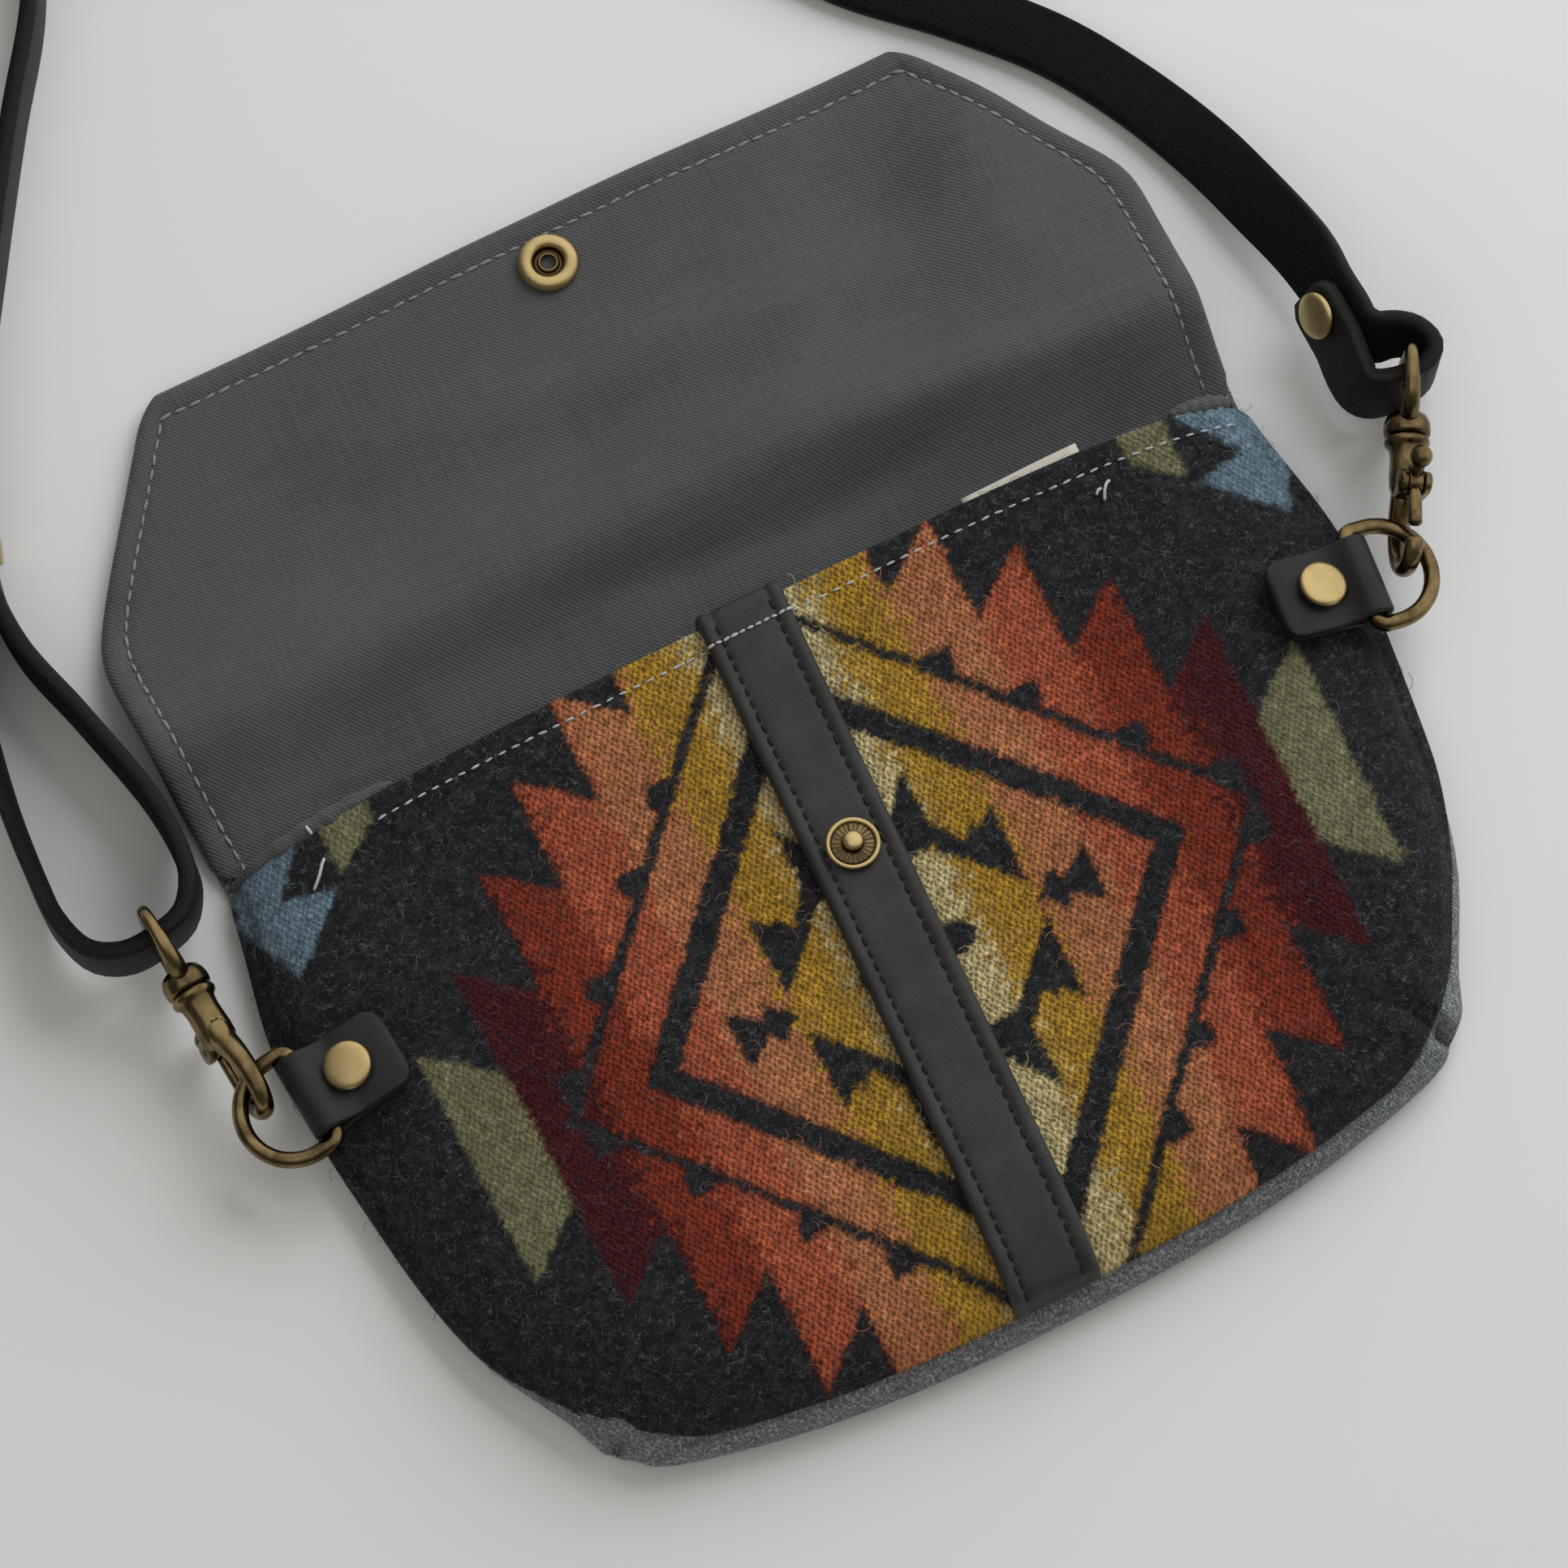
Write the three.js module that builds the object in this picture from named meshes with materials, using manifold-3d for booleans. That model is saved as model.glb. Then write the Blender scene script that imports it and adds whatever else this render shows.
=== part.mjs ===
import * as THREE from "three";
import { mergeVertices } from "three/addons/utils/BufferGeometryUtils.js";
import Module from "manifold-3d";

const wasm = await Module();
wasm.setup();

// Sizes in millimetres. X runs across the bag, Y from its bottom to the flap, Z up from the table.
// Y is 0 at the snap on the front. The bag lies on its back with the flap thrown open.
const gap = 0.3; // between pieces that touch

// Body outline
const sideHalf = [84.5, 99.5, 106, 108.8, 104.5]; // half widths, bottom corner to mouth, in equal steps
const mouthY = 50.5;
const mouthDip = 4.5; // how far the mouth's ends fall behind its middle
const bottomY = -91;
const bottomLift = 11.5; // how far the bottom corners stand above its middle
const skew = 0.028; // the soft bag lies a little askew, rising to the right

// Cloth
const canvas = 1.1;
const wool = 2;
const liningThick = 0.8;
const seamHigh = 9; // height of the seam at the bottom
const seamLow = 5; // height of the seam at the mouth's ends
const band = 2.4; // canvas that shows outside the wool
const woolIn = band + 2 * gap;
const beadInner = 4.6; // inner wall of the seam allowance
const puff = 8; // how far the front stands above its seam
const puffMouth = 5.6;
const puffReach = 26; // distance from the seam over which the front rises

// Flap
const flapLength = 91;
const flapHip = 48.5; // from the mouth to the widest point
const flapHipHalf = 108;
const flapEndHalf = 79.4;
const flapHem = 0.6; // canvas edge that shows round the lining
const liftReach = 60; // half width over which the flap's middle rises over the cap

// Leather strip down the front
const stripWidth = 17;
const stripThick = 2.2;
const stripLean = 0.035;
const stripTuck = 12; // length folded inside the mouth

// Snap
const snapY = 0;
const studFlange = 5; // radius
const studPost = 1.7; // radius
const shank = 1.5; // radius of every rivet's shank
const socketEdge = 11; // from the flap's end to the socket's axis
const socketRadius = 5.7;
const capThick = 2;

// Side tabs, D-rings and rivets
const tabX = 96.8; // rivet from the middle
const tabY = 4.4;
const tabTurn = 6; // degrees that a tab's outer end drops
const tabWidth = 15.5;
const tabThick = 1.7;
const tabInner = 8; // from the rivet to the tab's inner end
const barReach = 9; // from the rivet to the ring's bar
const rivetRadius = 4.5;
const ringWire = 1.5; // radius
const ringHalf = tabWidth / 2 + 0.25 + ringWire; // half the bar, on the wire's centre
const ringLeg = 4.2; // straight part beside the bar
const ringDrop = { left: 9, right: 9 }; // degrees that a ring slopes down from its bar
const barClear = 0.5;

// Strap
const strapWidth = 12.7;
const strapThick = 3.4;

// Swivel hooks: s runs from the eye's far end to the claw's end, w from the spine to the gate
const eyeWire = 1.4; // radius
const eyeClear = 0.55;
const eyeHalf = strapWidth / 2 + eyeClear + eyeWire; // half height, on the wire's centre
const eyeDepth = 13.6; // far end of the eye to its base, on the wire's centre
const eyeBase = 17.3;
const stem = 1.6; // radius of the swivel's stem
const stemEnd = 24.2;
const barrel = 3.2; // radius
const barrelEnd = 29;
const clawEnd = 42.9; // on the claw's centre
const clawWire = 1.7; // radius
const pinW = 4;
const pinS = 27.6;
const pin = 0.8; // radius
const leverThick = 2.8;
const hookTilt = 13; // degrees that the hook's plane leans from upright
// onRing: degrees round the ring from its outer end. wireAt: where the ring crosses the hook.
const hooks = {
  left: { onRing: 61, wireAt: 37, turn: 6.8, side: -1, up: -1 },
  right: { onRing: 38, wireAt: 36.5, turn: -28.1, side: 1, up: 1 },
};

// Label
const labelX = 61;
const labelWidth = 24;
const labelDepth = 14;
const labelOut = 3; // how far it shows outside the mouth
const labelThick = 0.6;

const group = new THREE.Group();
const looks = {
  wool: ["#2b2b31", 0.95, 0],
  canvas: ["#7f8583", 0.9, 0],
  lining: ["#505355", 0.9, 0],
  leather: ["#2a2927", 0.55, 0],
  brass: ["#b09a5c", 0.3, 1],
  oldBrass: ["#6f5a40", 0.35, 1],
  label: ["#d9d4c4", 0.9, 0],
};

function add(name, geometry, look) {
  const [color, roughness, metalness] = looks[look];
  const mesh = new THREE.Mesh(
    geometry,
    new THREE.MeshStandardMaterial({ color, roughness, metalness }),
  );
  mesh.name = name;
  group.add(mesh);
  return mesh;
}

function solid(geometry) {
  const bare = geometry.index ? geometry.toNonIndexed() : geometry.clone();
  bare.deleteAttribute("normal");
  bare.deleteAttribute("uv");
  const merged = mergeVertices(bare, 1e-3);
  return new wasm.Manifold(
    new wasm.Mesh({
      numProp: 3,
      vertProperties: merged.attributes.position.array,
      triVerts: new Uint32Array(merged.index.array),
    }),
  );
}

function shapeOf(made) {
  const m = made.getMesh();
  const points = new Float32Array(m.numVert * 3);
  for (let i = 0; i < m.numVert; i++) {
    points.set(m.vertProperties.subarray(i * m.numProp, i * m.numProp + 3), i * 3);
  }
  return new THREE.BufferGeometry()
    .setAttribute("position", new THREE.BufferAttribute(points, 3))
    .setIndex(new THREE.BufferAttribute(new Uint32Array(m.triVerts), 1));
}

function closed(points, faces) {
  let volume = 0;
  for (const [a, b, c] of faces) {
    volume += points[a].dot(new THREE.Vector3().crossVectors(points[b], points[c]));
  }
  const turned = volume < 0 ? faces.map(([a, b, c]) => [a, c, b]) : faces;
  const flat = points.flatMap((p) => [p.x, p.y, p.z]);
  return new THREE.BufferGeometry()
    .setAttribute("position", new THREE.Float32BufferAttribute(flat, 3))
    .setIndex(turned.flat());
}

// A sheet over a grid of plan points, between a lower and an upper height at each.
function sheet(grid) {
  const rows = grid.length;
  const cols = grid[0].length;
  const points = [];
  const faces = [];
  for (const level of ["top", "low"]) {
    for (const row of grid) {
      for (const p of row) {
        points.push(new THREE.Vector3(p.x, p.y, p[level]));
      }
    }
  }
  const at = (level, r, c) => level * rows * cols + r * cols + c;
  for (let r = 0; r < rows - 1; r++) {
    for (let c = 0; c < cols - 1; c++) {
      const left = c < (cols - 1) / 2;
      for (const level of [0, 1]) {
        const a = at(level, r, c);
        const b = at(level, r, c + 1);
        const d = at(level, r + 1, c);
        const e = at(level, r + 1, c + 1);
        const pair = left
          ? [[a, b, e], [a, e, d]]
          : [[a, b, d], [b, e, d]];
        for (const [i, j, k] of pair) {
          faces.push(level ? [i, k, j] : [i, j, k]);
        }
      }
    }
  }
  const rim = [];
  for (let c = 0; c < cols - 1; c++) rim.push([0, c]);
  for (let r = 0; r < rows - 1; r++) rim.push([r, cols - 1]);
  for (let c = cols - 1; c > 0; c--) rim.push([rows - 1, c]);
  for (let r = rows - 1; r > 0; r--) rim.push([r, 0]);
  rim.forEach(([r, c], i) => {
    const [r2, c2] = rim[(i + 1) % rim.length];
    faces.push([at(0, r, c), at(1, r, c), at(1, r2, c2)]);
    faces.push([at(0, r, c), at(1, r2, c2), at(0, r2, c2)]);
  });
  return closed(points, faces);
}

// A section carried along stations, each with a centre and two axes.
function sweep(stations, section, loop = false) {
  const n = section.length;
  const points = [];
  const faces = [];
  for (const { c, a, b } of stations) {
    for (const [x, y] of section) {
      points.push(c.clone().addScaledVector(a, x).addScaledVector(b, y));
    }
  }
  const last = loop ? stations.length : stations.length - 1;
  for (let i = 0; i < last; i++) {
    const k = ((i + 1) % stations.length) * n;
    for (let j = 0; j < n; j++) {
      const m = (j + 1) % n;
      faces.push([i * n + j, i * n + m, k + m]);
      faces.push([i * n + j, k + m, k + j]);
    }
  }
  if (!loop) {
    const end = (stations.length - 1) * n;
    for (let j = 1; j < n - 1; j++) {
      faces.push([0, j + 1, j]);
      faces.push([end, end + j, end + j + 1]);
    }
  }
  return closed(points, faces);
}

function round(radius, sides, other = radius) {
  const section = [];
  for (let i = 0; i < sides; i++) {
    const t = ((i + 0.5) / sides) * Math.PI * 2;
    section.push([Math.cos(t) * radius, Math.sin(t) * other]);
  }
  return section;
}

function oblong(x, y) {
  return [[-x / 2, -y / 2], [x / 2, -y / 2], [x / 2, y / 2], [-x / 2, y / 2]];
}

// Stations along points of the plane z = 0, with the second axis across the plane.
function flatPath(list, loop = false) {
  const points = list.map(([x, y]) => new THREE.Vector3(x, y, 0));
  const across = new THREE.Vector3(0, 0, 1);
  const n = points.length;
  return points.map((c, i) => {
    const before = points[loop ? (i + n - 1) % n : Math.max(i - 1, 0)];
    const after = points[loop ? (i + 1) % n : Math.min(i + 1, n - 1)];
    const along = after.clone().sub(before).normalize();
    return { c, a: new THREE.Vector3().crossVectors(across, along), b: across };
  });
}

function arc(cx, cy, radius, from, to, steps) {
  const list = [];
  for (let i = 0; i <= steps; i++) {
    const t = THREE.MathUtils.degToRad(from + ((to - from) * i) / steps);
    list.push([cx + Math.cos(t) * radius, cy + Math.sin(t) * radius]);
  }
  return list;
}

function turned(profile, sides = 20) {
  return new THREE.LatheGeometry(profile.map(([r, y]) => new THREE.Vector2(r, y)), sides);
}

function rod(radius, length, sides = 12) {
  return new THREE.CylinderGeometry(radius, radius, length, sides);
}

const ease = (t) => {
  const k = Math.min(Math.max(t, 0), 1);
  return k * k * (3 - 2 * k);
};

// Body surfaces
const bodyLength = mouthY - bottomY;
function halfAt(v) {
  const k = Math.min(Math.max(v, 0), 1) * (sideHalf.length - 1);
  const i = Math.min(Math.floor(k), sideHalf.length - 2);
  const t = k - i;
  const p = [i - 1, i, i + 1, i + 2].map(
    (j) => sideHalf[Math.min(Math.max(j, 0), sideHalf.length - 1)],
  );
  const tail = 2 * p[0] - 5 * p[1] + 4 * p[2] - p[3];
  const cube = 3 * p[1] - p[0] - 3 * p[2] + p[3];
  return p[1] + 0.5 * t * (p[2] - p[0] + t * (tail + t * cube));
}

const bottomAt = (u) => bottomY + bottomLift * Math.abs(u) ** 2.5;
const mouthAt = (u) => mouthY - mouthDip * u ** 4;
const seamAt = (v) => seamLow + (seamHigh - seamLow) * (1 - Math.min(v, 1)) ** 2;

// A plan point and how far it is from the side and from the bottom.
function planAt(u, v) {
  const half = halfAt(v);
  const x = u * half;
  const rise = bottomAt(u);
  const y = rise + v * (mouthAt(u) - rise);
  return { u, v, x, y: y + skew * x, side: half * (1 - Math.abs(u)), bottom: v * bodyLength };
}

const bulge = (d) => {
  const t = Math.min(Math.max((d - woolIn) / puffReach, 0), 1);
  return Math.sqrt(1 - (1 - t) ** 2);
};

function frontTop({ v, side, bottom }) {
  const height = puff + (puffMouth - puff) * ease((v - 0.45) / 0.55);
  return seamAt(v) + height * bulge(side) * bulge(bottom);
}

// The front's height over a plan point given in X and Y.
function frontAt(x, y) {
  const level = y - skew * x;
  let v = 0.5;
  let u = 0;
  for (let i = 0; i < 20; i++) {
    u = Math.min(Math.max(x / halfAt(v), -1), 1);
    const rise = bottomAt(u);
    v = (level - rise) / (mouthAt(u) - rise);
  }
  return frontTop(planAt(u, Math.min(v, 1)));
}

// Rows that the cloth layers share above their bottom edges, as distances from the bottom
const sharedRows = [36, 50, 64, 78, 92, 106, 120, 132, 138, bodyLength];

// A body grid: distances from the edges, then even steps across the middle.
function bodyGrid(edges, across, heights) {
  const inner = edges[edges.length - 1];
  return [...edges, ...sharedRows].map((d) => {
    const v = d / bodyLength;
    const half = halfAt(v);
    const us = edges.map((e) => -1 + e / half);
    for (let i = 1; i < across; i++) us.push((1 - inner / half) * (-1 + (2 * i) / across));
    us.push(...edges.map((e) => 1 - e / half).reverse());
    return us.map((u) => heights(planAt(u, v)));
  });
}

const woolEdges = [0, 0.5, 1.6, 3.4, 6, 10, 15, 22].map((d) => d + woolIn);
const front = solid(
  sheet(
    bodyGrid(woolEdges, 6, (p) => {
      const top = frontTop(p);
      return { ...p, top, low: top - wool };
    }),
  ),
);
const lineEdges = [0, 2, 5, 9, 15, 22].map((d) => d + beadInner + gap);
const frontLining = solid(
  sheet(
    bodyGrid(lineEdges, 6, (p) => {
      const top = frontTop(p) - wool - 2 * gap;
      return { ...p, top, low: top - liningThick };
    }),
  ),
);

// Flap: rows beyond the mouth
const socketY = flapLength - socketEdge;
function flapHalf(r) {
  if (r < flapHip) return halfAt(1) + ((flapHipHalf - halfAt(1)) * r) / flapHip;
  return flapHipHalf + ((flapEndHalf - flapHipHalf) * (r - flapHip)) / (flapLength - flapHip);
}

function flapAt(x, r) {
  const u = x / flapHalf(r);
  const dip = (mouthAt(u) - mouthY) * Math.max(1 - r / 30, 0);
  const out = 1 - ease((Math.abs(x) - 10) / (liftReach - 10));
  const lift = (capThick + gap) * out * ease((r - 35) / 32);
  return { x, y: mouthY + dip + r + skew * x, lift };
}

const flapRows = [0.4, 4, 14, 30, flapHip, 58, 64, 70, socketY + 7, flapLength - 1.5, flapLength];
const flapSteps = [0.12, 0.3, 0.55, 0.78];

function flapXs(half, edges) {
  const inner = half - edges[edges.length - 1];
  const right = [...flapSteps.map((f) => f * inner), ...edges.map((d) => half - d).reverse()];
  return [...right.map((x) => -x).reverse(), 0, ...right];
}

const trayEdges = [0, 0.9, 1.8, band - 0.15, band, beadInner - 0.6, beadInner, 9];
function trayPoint(p) {
  const d = Math.min(p.side, p.bottom);
  const fade = 1 - ease((p.v - 0.955) / 0.045) * 0.75;
  const seam = seamAt(p.v) * fade;
  const t = Math.min(d / band, 1);
  let top = seam * (0.45 + 0.55 * Math.sqrt(1 - (1 - t) ** 2));
  if (d > band - 0.1) top = seam - wool - gap;
  if (d > beadInner - 0.7) top = (seam - wool - gap) * 0.7;
  if (d > beadInner - 0.1) top = canvas;
  const low = seam * 0.4 * Math.max(1 - d / beadInner, 0) ** 2;
  return { ...p, top: Math.max(top, canvas), low };
}

const backGrid = [...trayEdges, 22, ...sharedRows].map((d) => {
  const v = d / bodyLength;
  const half = halfAt(v);
  return flapXs(half, trayEdges).map((x) => trayPoint(planAt(x / half, v)));
});
for (const r of flapRows.slice(1)) {
  const row = flapXs(flapHalf(r), trayEdges).map((x) => flapAt(x, r));
  backGrid.push(row.map((p) => ({ ...p, top: p.lift + canvas, low: p.lift })));
}
const back = solid(sheet(backGrid));

const facingEdges = [0, 9];
const inside = beadInner + gap;
const facingGrid = [inside, 9, 22, ...sharedRows.slice(0, -2)].map((d) => {
  const v = d / bodyLength;
  const half = halfAt(v);
  const xs = flapXs(half - inside, facingEdges);
  return xs.map((x) => ({ ...planAt(x / half, v), lift: 0 }));
});
for (const r of flapRows) {
  const hem = r < 4 ? inside : flapHem;
  const end = Math.min(r, flapLength - flapHem);
  facingGrid.push(flapXs(flapHalf(r) - hem, facingEdges).map((x) => flapAt(x, end)));
}
const facing = solid(
  sheet(
    facingGrid.map((row) =>
      row.map((p) => {
        const low = p.lift + canvas + gap;
        return { ...p, low, top: low + liningThick };
      }),
    ),
  ),
);

// Leather strip: lies on the front, folds over the mouth and tucks inside
const stripX = (y) => stripLean * (y - snapY);
const stripRows = [-85.6, -85, -83.6, -81, -77, -71, -62, -45, -25, -5, 15, 30, 42, mouthY + 1];
const stripSeat = 0.4;
const stripTop = solid(
  sheet(
    stripRows.map((y) =>
      [-0.5, -0.25, 0, 0.25, 0.5].map((k) => {
        const x = stripX(y) + k * stripWidth;
        const low = frontAt(x, Math.min(y, mouthY) + skew * k * stripWidth) + stripSeat;
        return { x, y: y + skew * k * stripWidth, low, top: low + stripThick };
      }),
    ),
  ),
);
const lipZ = frontAt(stripX(mouthY), mouthY);
const outZ = lipZ + stripSeat + stripThick;
const inZ = lipZ - wool - 2 * gap - liningThick - stripSeat - stripThick;
const fold = new THREE.Shape();
const foldOut = stripSeat + stripThick;
fold.moveTo(0, outZ);
fold.lineTo(foldOut - 1.2, outZ);
fold.quadraticCurveTo(foldOut, outZ, foldOut, outZ - 1.2);
fold.lineTo(foldOut, inZ + 1.2);
fold.quadraticCurveTo(foldOut, inZ, foldOut - 1.2, inZ);
fold.lineTo(-stripTuck, inZ);
fold.lineTo(-stripTuck, inZ + stripThick);
fold.lineTo(stripSeat, inZ + stripThick);
fold.lineTo(stripSeat, outZ - stripThick);
fold.lineTo(0, outZ - stripThick);
fold.closePath();
const foldBar = new THREE.ExtrudeGeometry(fold, {
  depth: stripWidth,
  bevelEnabled: false,
  curveSegments: 4,
});
const foldAxes = new THREE.Matrix4().makeBasis(
  new THREE.Vector3(0, 1, 0),
  new THREE.Vector3(0, 0, 1),
  new THREE.Vector3(1, 0, 0),
);
foldBar.translate(0, 0, -stripWidth / 2);
foldBar.applyMatrix4(foldAxes);
foldBar.rotateZ(Math.atan(skew));
foldBar.translate(stripX(mouthY), mouthY, 0);
let strip = stripTop.add(solid(foldBar));

// A frame standing on the front at a plan point, with its Y axis along the surface's normal.
function standOn(x, y, height) {
  const step = 3;
  const z = frontAt(x, y);
  const dx = (frontAt(x + step, y) - frontAt(x - step, y)) / (2 * step);
  const dy = (frontAt(x, y + step) - frontAt(x, y - step)) / (2 * step);
  const normal = new THREE.Vector3(-dx, -dy, 1).normalize();
  const turn = new THREE.Quaternion().setFromUnitVectors(new THREE.Vector3(0, 1, 0), normal);
  const frame = new THREE.Matrix4().makeRotationFromQuaternion(turn);
  const place = new THREE.Vector3(x, y, z).addScaledVector(normal, height);
  return frame.setPosition(place);
}

// Snap stud on the strip, with its eyelet behind the front
const studAt = standOn(stripX(snapY), snapY, stripSeat + stripThick + gap);
const gripDepth = gap + stripThick + stripSeat + wool + 2 * gap + liningThick + gap;
const studProfile = [
  [0, -gripDepth - 0.8],
  [shank, -gripDepth - 0.8],
  [shank, 0],
  [studFlange, 0],
  [studFlange, 0.7],
  [studFlange - 0.5, 1],
  [studFlange - 1.1, 0.6],
  [studPost + 0.3, 0.6],
  [studPost, 1],
  [studPost + 0.2, 2],
  [studPost - 0.5, 2.7],
  [0, 3],
];
add("snap_stud", turned(studProfile, 24).applyMatrix4(studAt), "oldBrass");
const eyeletProfile = [
  [shank + gap, -gripDepth - 1],
  [studFlange - 0.8, -gripDepth - 1],
  [studFlange - 0.5, -gripDepth],
  [shank + gap, -gripDepth],
  [shank + gap, -gripDepth - 1],
];
add("snap_stud_eyelet", turned(eyeletProfile).applyMatrix4(studAt), "oldBrass");
const holeDepth = 14;
const studHole = solid(rod(shank + gap, holeDepth).applyMatrix4(studAt));
strip = strip.subtract(studHole);

// Snap socket on the flap, with its cap beneath
const socketPlace = flapAt(0, socketY);
const flapFace = socketPlace.lift + canvas + gap + liningThick;
const tube = 2.3; // radius of the socket's tube
const socketProfile = [
  [1.5, -1.4],
  [tube, -1.4],
  [tube, gap],
  [socketRadius - 0.4, gap],
  [socketRadius, 0.9],
  [socketRadius - 0.6, 2],
  [socketRadius - 1.8, 2.5],
  [socketRadius - 2.9, 2],
  [socketRadius - 3.1, 0.8],
  [1.9, 0.8],
  [1.9, 2.1],
  [1.5, 2.1],
  [1.5, -1.4],
];
const socketFrame = new THREE.Matrix4()
  .makeRotationX(Math.PI / 2)
  .setPosition(0, socketPlace.y, flapFace);
add("snap_socket", turned(socketProfile, 24).applyMatrix4(socketFrame), "brass");
const capProfile = [
  [0, 0],
  [socketRadius - 0.6, 0],
  [socketRadius + 0.2, 0.8],
  [socketRadius - 0.2, capThick],
  [0, capThick],
];
const capFrame = new THREE.Matrix4().makeRotationX(Math.PI / 2).setPosition(0, socketPlace.y, 0);
add("snap_cap", turned(capProfile, 24).applyMatrix4(capFrame), "brass");
const socketHole = solid(rod(tube + gap, holeDepth, 16).applyMatrix4(socketFrame));
const facingCut = facing.subtract(socketHole);
const backCut = back.subtract(socketHole);

// Side tabs with their rivets and D-rings
let frontCut = front.subtract(studHole);
let liningCut = frontLining.subtract(studHole);
const tabSeat = 0.6;
const barFrames = {};
for (const name of ["left", "right"]) {
  const side = name === "left" ? -1 : 1;
  const turn = THREE.MathUtils.degToRad(tabTurn);
  const out = new THREE.Vector3(side * Math.cos(turn), -Math.sin(turn), 0);
  const up = new THREE.Vector3(0, 0, 1);
  const across = new THREE.Vector3().crossVectors(out, up);
  const rivetX = side * tabX;
  const rivetY = tabY + skew * rivetX;
  const under = (p) =>
    Math.max(
      ...[-0.5, 0, 0.5].map((k) => {
        const reach = k * tabWidth;
        return frontAt(rivetX + out.x * p + across.x * reach, rivetY + out.y * p + across.y * reach);
      }),
    );
  const centre = (p) => under(p) + tabSeat + tabThick / 2;
  const bend = ringWire + barClear + tabThick / 2;
  const barZ = centre(barReach - 2.8) + bend;
  const lower = [-tabInner, -tabInner / 2, 0, 2.5, 5, 7].map((p) => [p, centre(p)]);
  const lift = tabThick + gap;
  const upperAt = [barReach - 1.8, rivetRadius + 0.7, 0, -tabInner / 2, -tabInner];
  const upper = upperAt.map((p) => [p, centre(p) + lift]);
  upper[0][1] = Math.max(upper[0][1], barZ + bend - 0.5);
  const path = [...lower, ...arc(barReach, barZ, bend, -80, 100, 9), ...upper];
  const tabFrame = new THREE.Matrix4()
    .makeBasis(out, up, across)
    .setPosition(rivetX, rivetY, 0);
  let tab = solid(sweep(flatPath(path), oblong(tabThick, tabWidth)).applyMatrix4(tabFrame));

  const rivetFrame = standOn(rivetX, rivetY, 0);
  const rivetTop = under(0) - frontAt(rivetX, rivetY) + tabSeat + 2 * tabThick + 4 * gap;
  const rivetLow = -wool - 2 * gap - liningThick - 2 * gap;
  const capOut = [
    [0, rivetLow - 0.6],
    [shank, rivetLow - 0.6],
    [shank, rivetTop],
    [rivetRadius - 0.3, rivetTop],
    [rivetRadius, rivetTop + 0.5],
    [rivetRadius - 0.4, rivetTop + 1.1],
    [rivetRadius - 1.6, rivetTop + 1.5],
    [0, rivetTop + 1.7],
  ];
  add(`${name}_tab_rivet`, turned(capOut).applyMatrix4(rivetFrame), "brass");
  const capIn = [
    [shank + gap, rivetLow - 1],
    [rivetRadius - 0.6, rivetLow - 1],
    [rivetRadius - 0.2, rivetLow],
    [shank + gap, rivetLow],
    [shank + gap, rivetLow - 1],
  ];
  add(`${name}_tab_rivet_back`, turned(capIn).applyMatrix4(rivetFrame), "brass");
  const rivetHole = solid(rod(shank + gap, holeDepth * 1.5).applyMatrix4(rivetFrame));
  tab = tab.subtract(rivetHole);
  frontCut = frontCut.subtract(rivetHole);
  liningCut = liningCut.subtract(rivetHole);
  add(`${name}_tab`, shapeOf(tab), "leather");

  const drop = THREE.MathUtils.degToRad(ringDrop[name]);
  const ringOut = out.clone().multiplyScalar(Math.cos(drop)).addScaledVector(up, -Math.sin(drop));
  const bar = new THREE.Vector3(rivetX, rivetY, barZ).addScaledVector(out, barReach);
  const ringFrame = new THREE.Matrix4()
    .makeBasis(ringOut, across, new THREE.Vector3().crossVectors(ringOut, across))
    .setPosition(bar);
  const corner = 2;
  const ringPath = [
    [0, 0],
    ...arc(corner, ringHalf - corner, corner, 180, 90, 3),
    ...arc(ringLeg, 0, ringHalf, 88, -88, 16),
    ...arc(corner, corner - ringHalf, corner, 270, 180, 3),
  ];
  const ring = sweep(flatPath(ringPath, true), round(ringWire, 8), true);
  add(`${name}_d_ring`, ring.applyMatrix4(ringFrame), "oldBrass");
  const onRing = THREE.MathUtils.degToRad(hooks[name].onRing);
  const hung = new THREE.Vector3(
    ringLeg + ringHalf * Math.cos(onRing),
    -side * ringHalf * Math.sin(onRing),
    0,
  ).applyMatrix4(ringFrame);
  barFrames[name] = { bar, across, hung };
}
add("front_panel", shapeOf(frontCut), "wool");
add("front_lining", shapeOf(liningCut), "lining");
add("back_panel_and_flap", shapeOf(backCut), "canvas");
add("flap_facing", shapeOf(facingCut), "lining");
add("leather_strip", shapeOf(strip), "leather");

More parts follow.
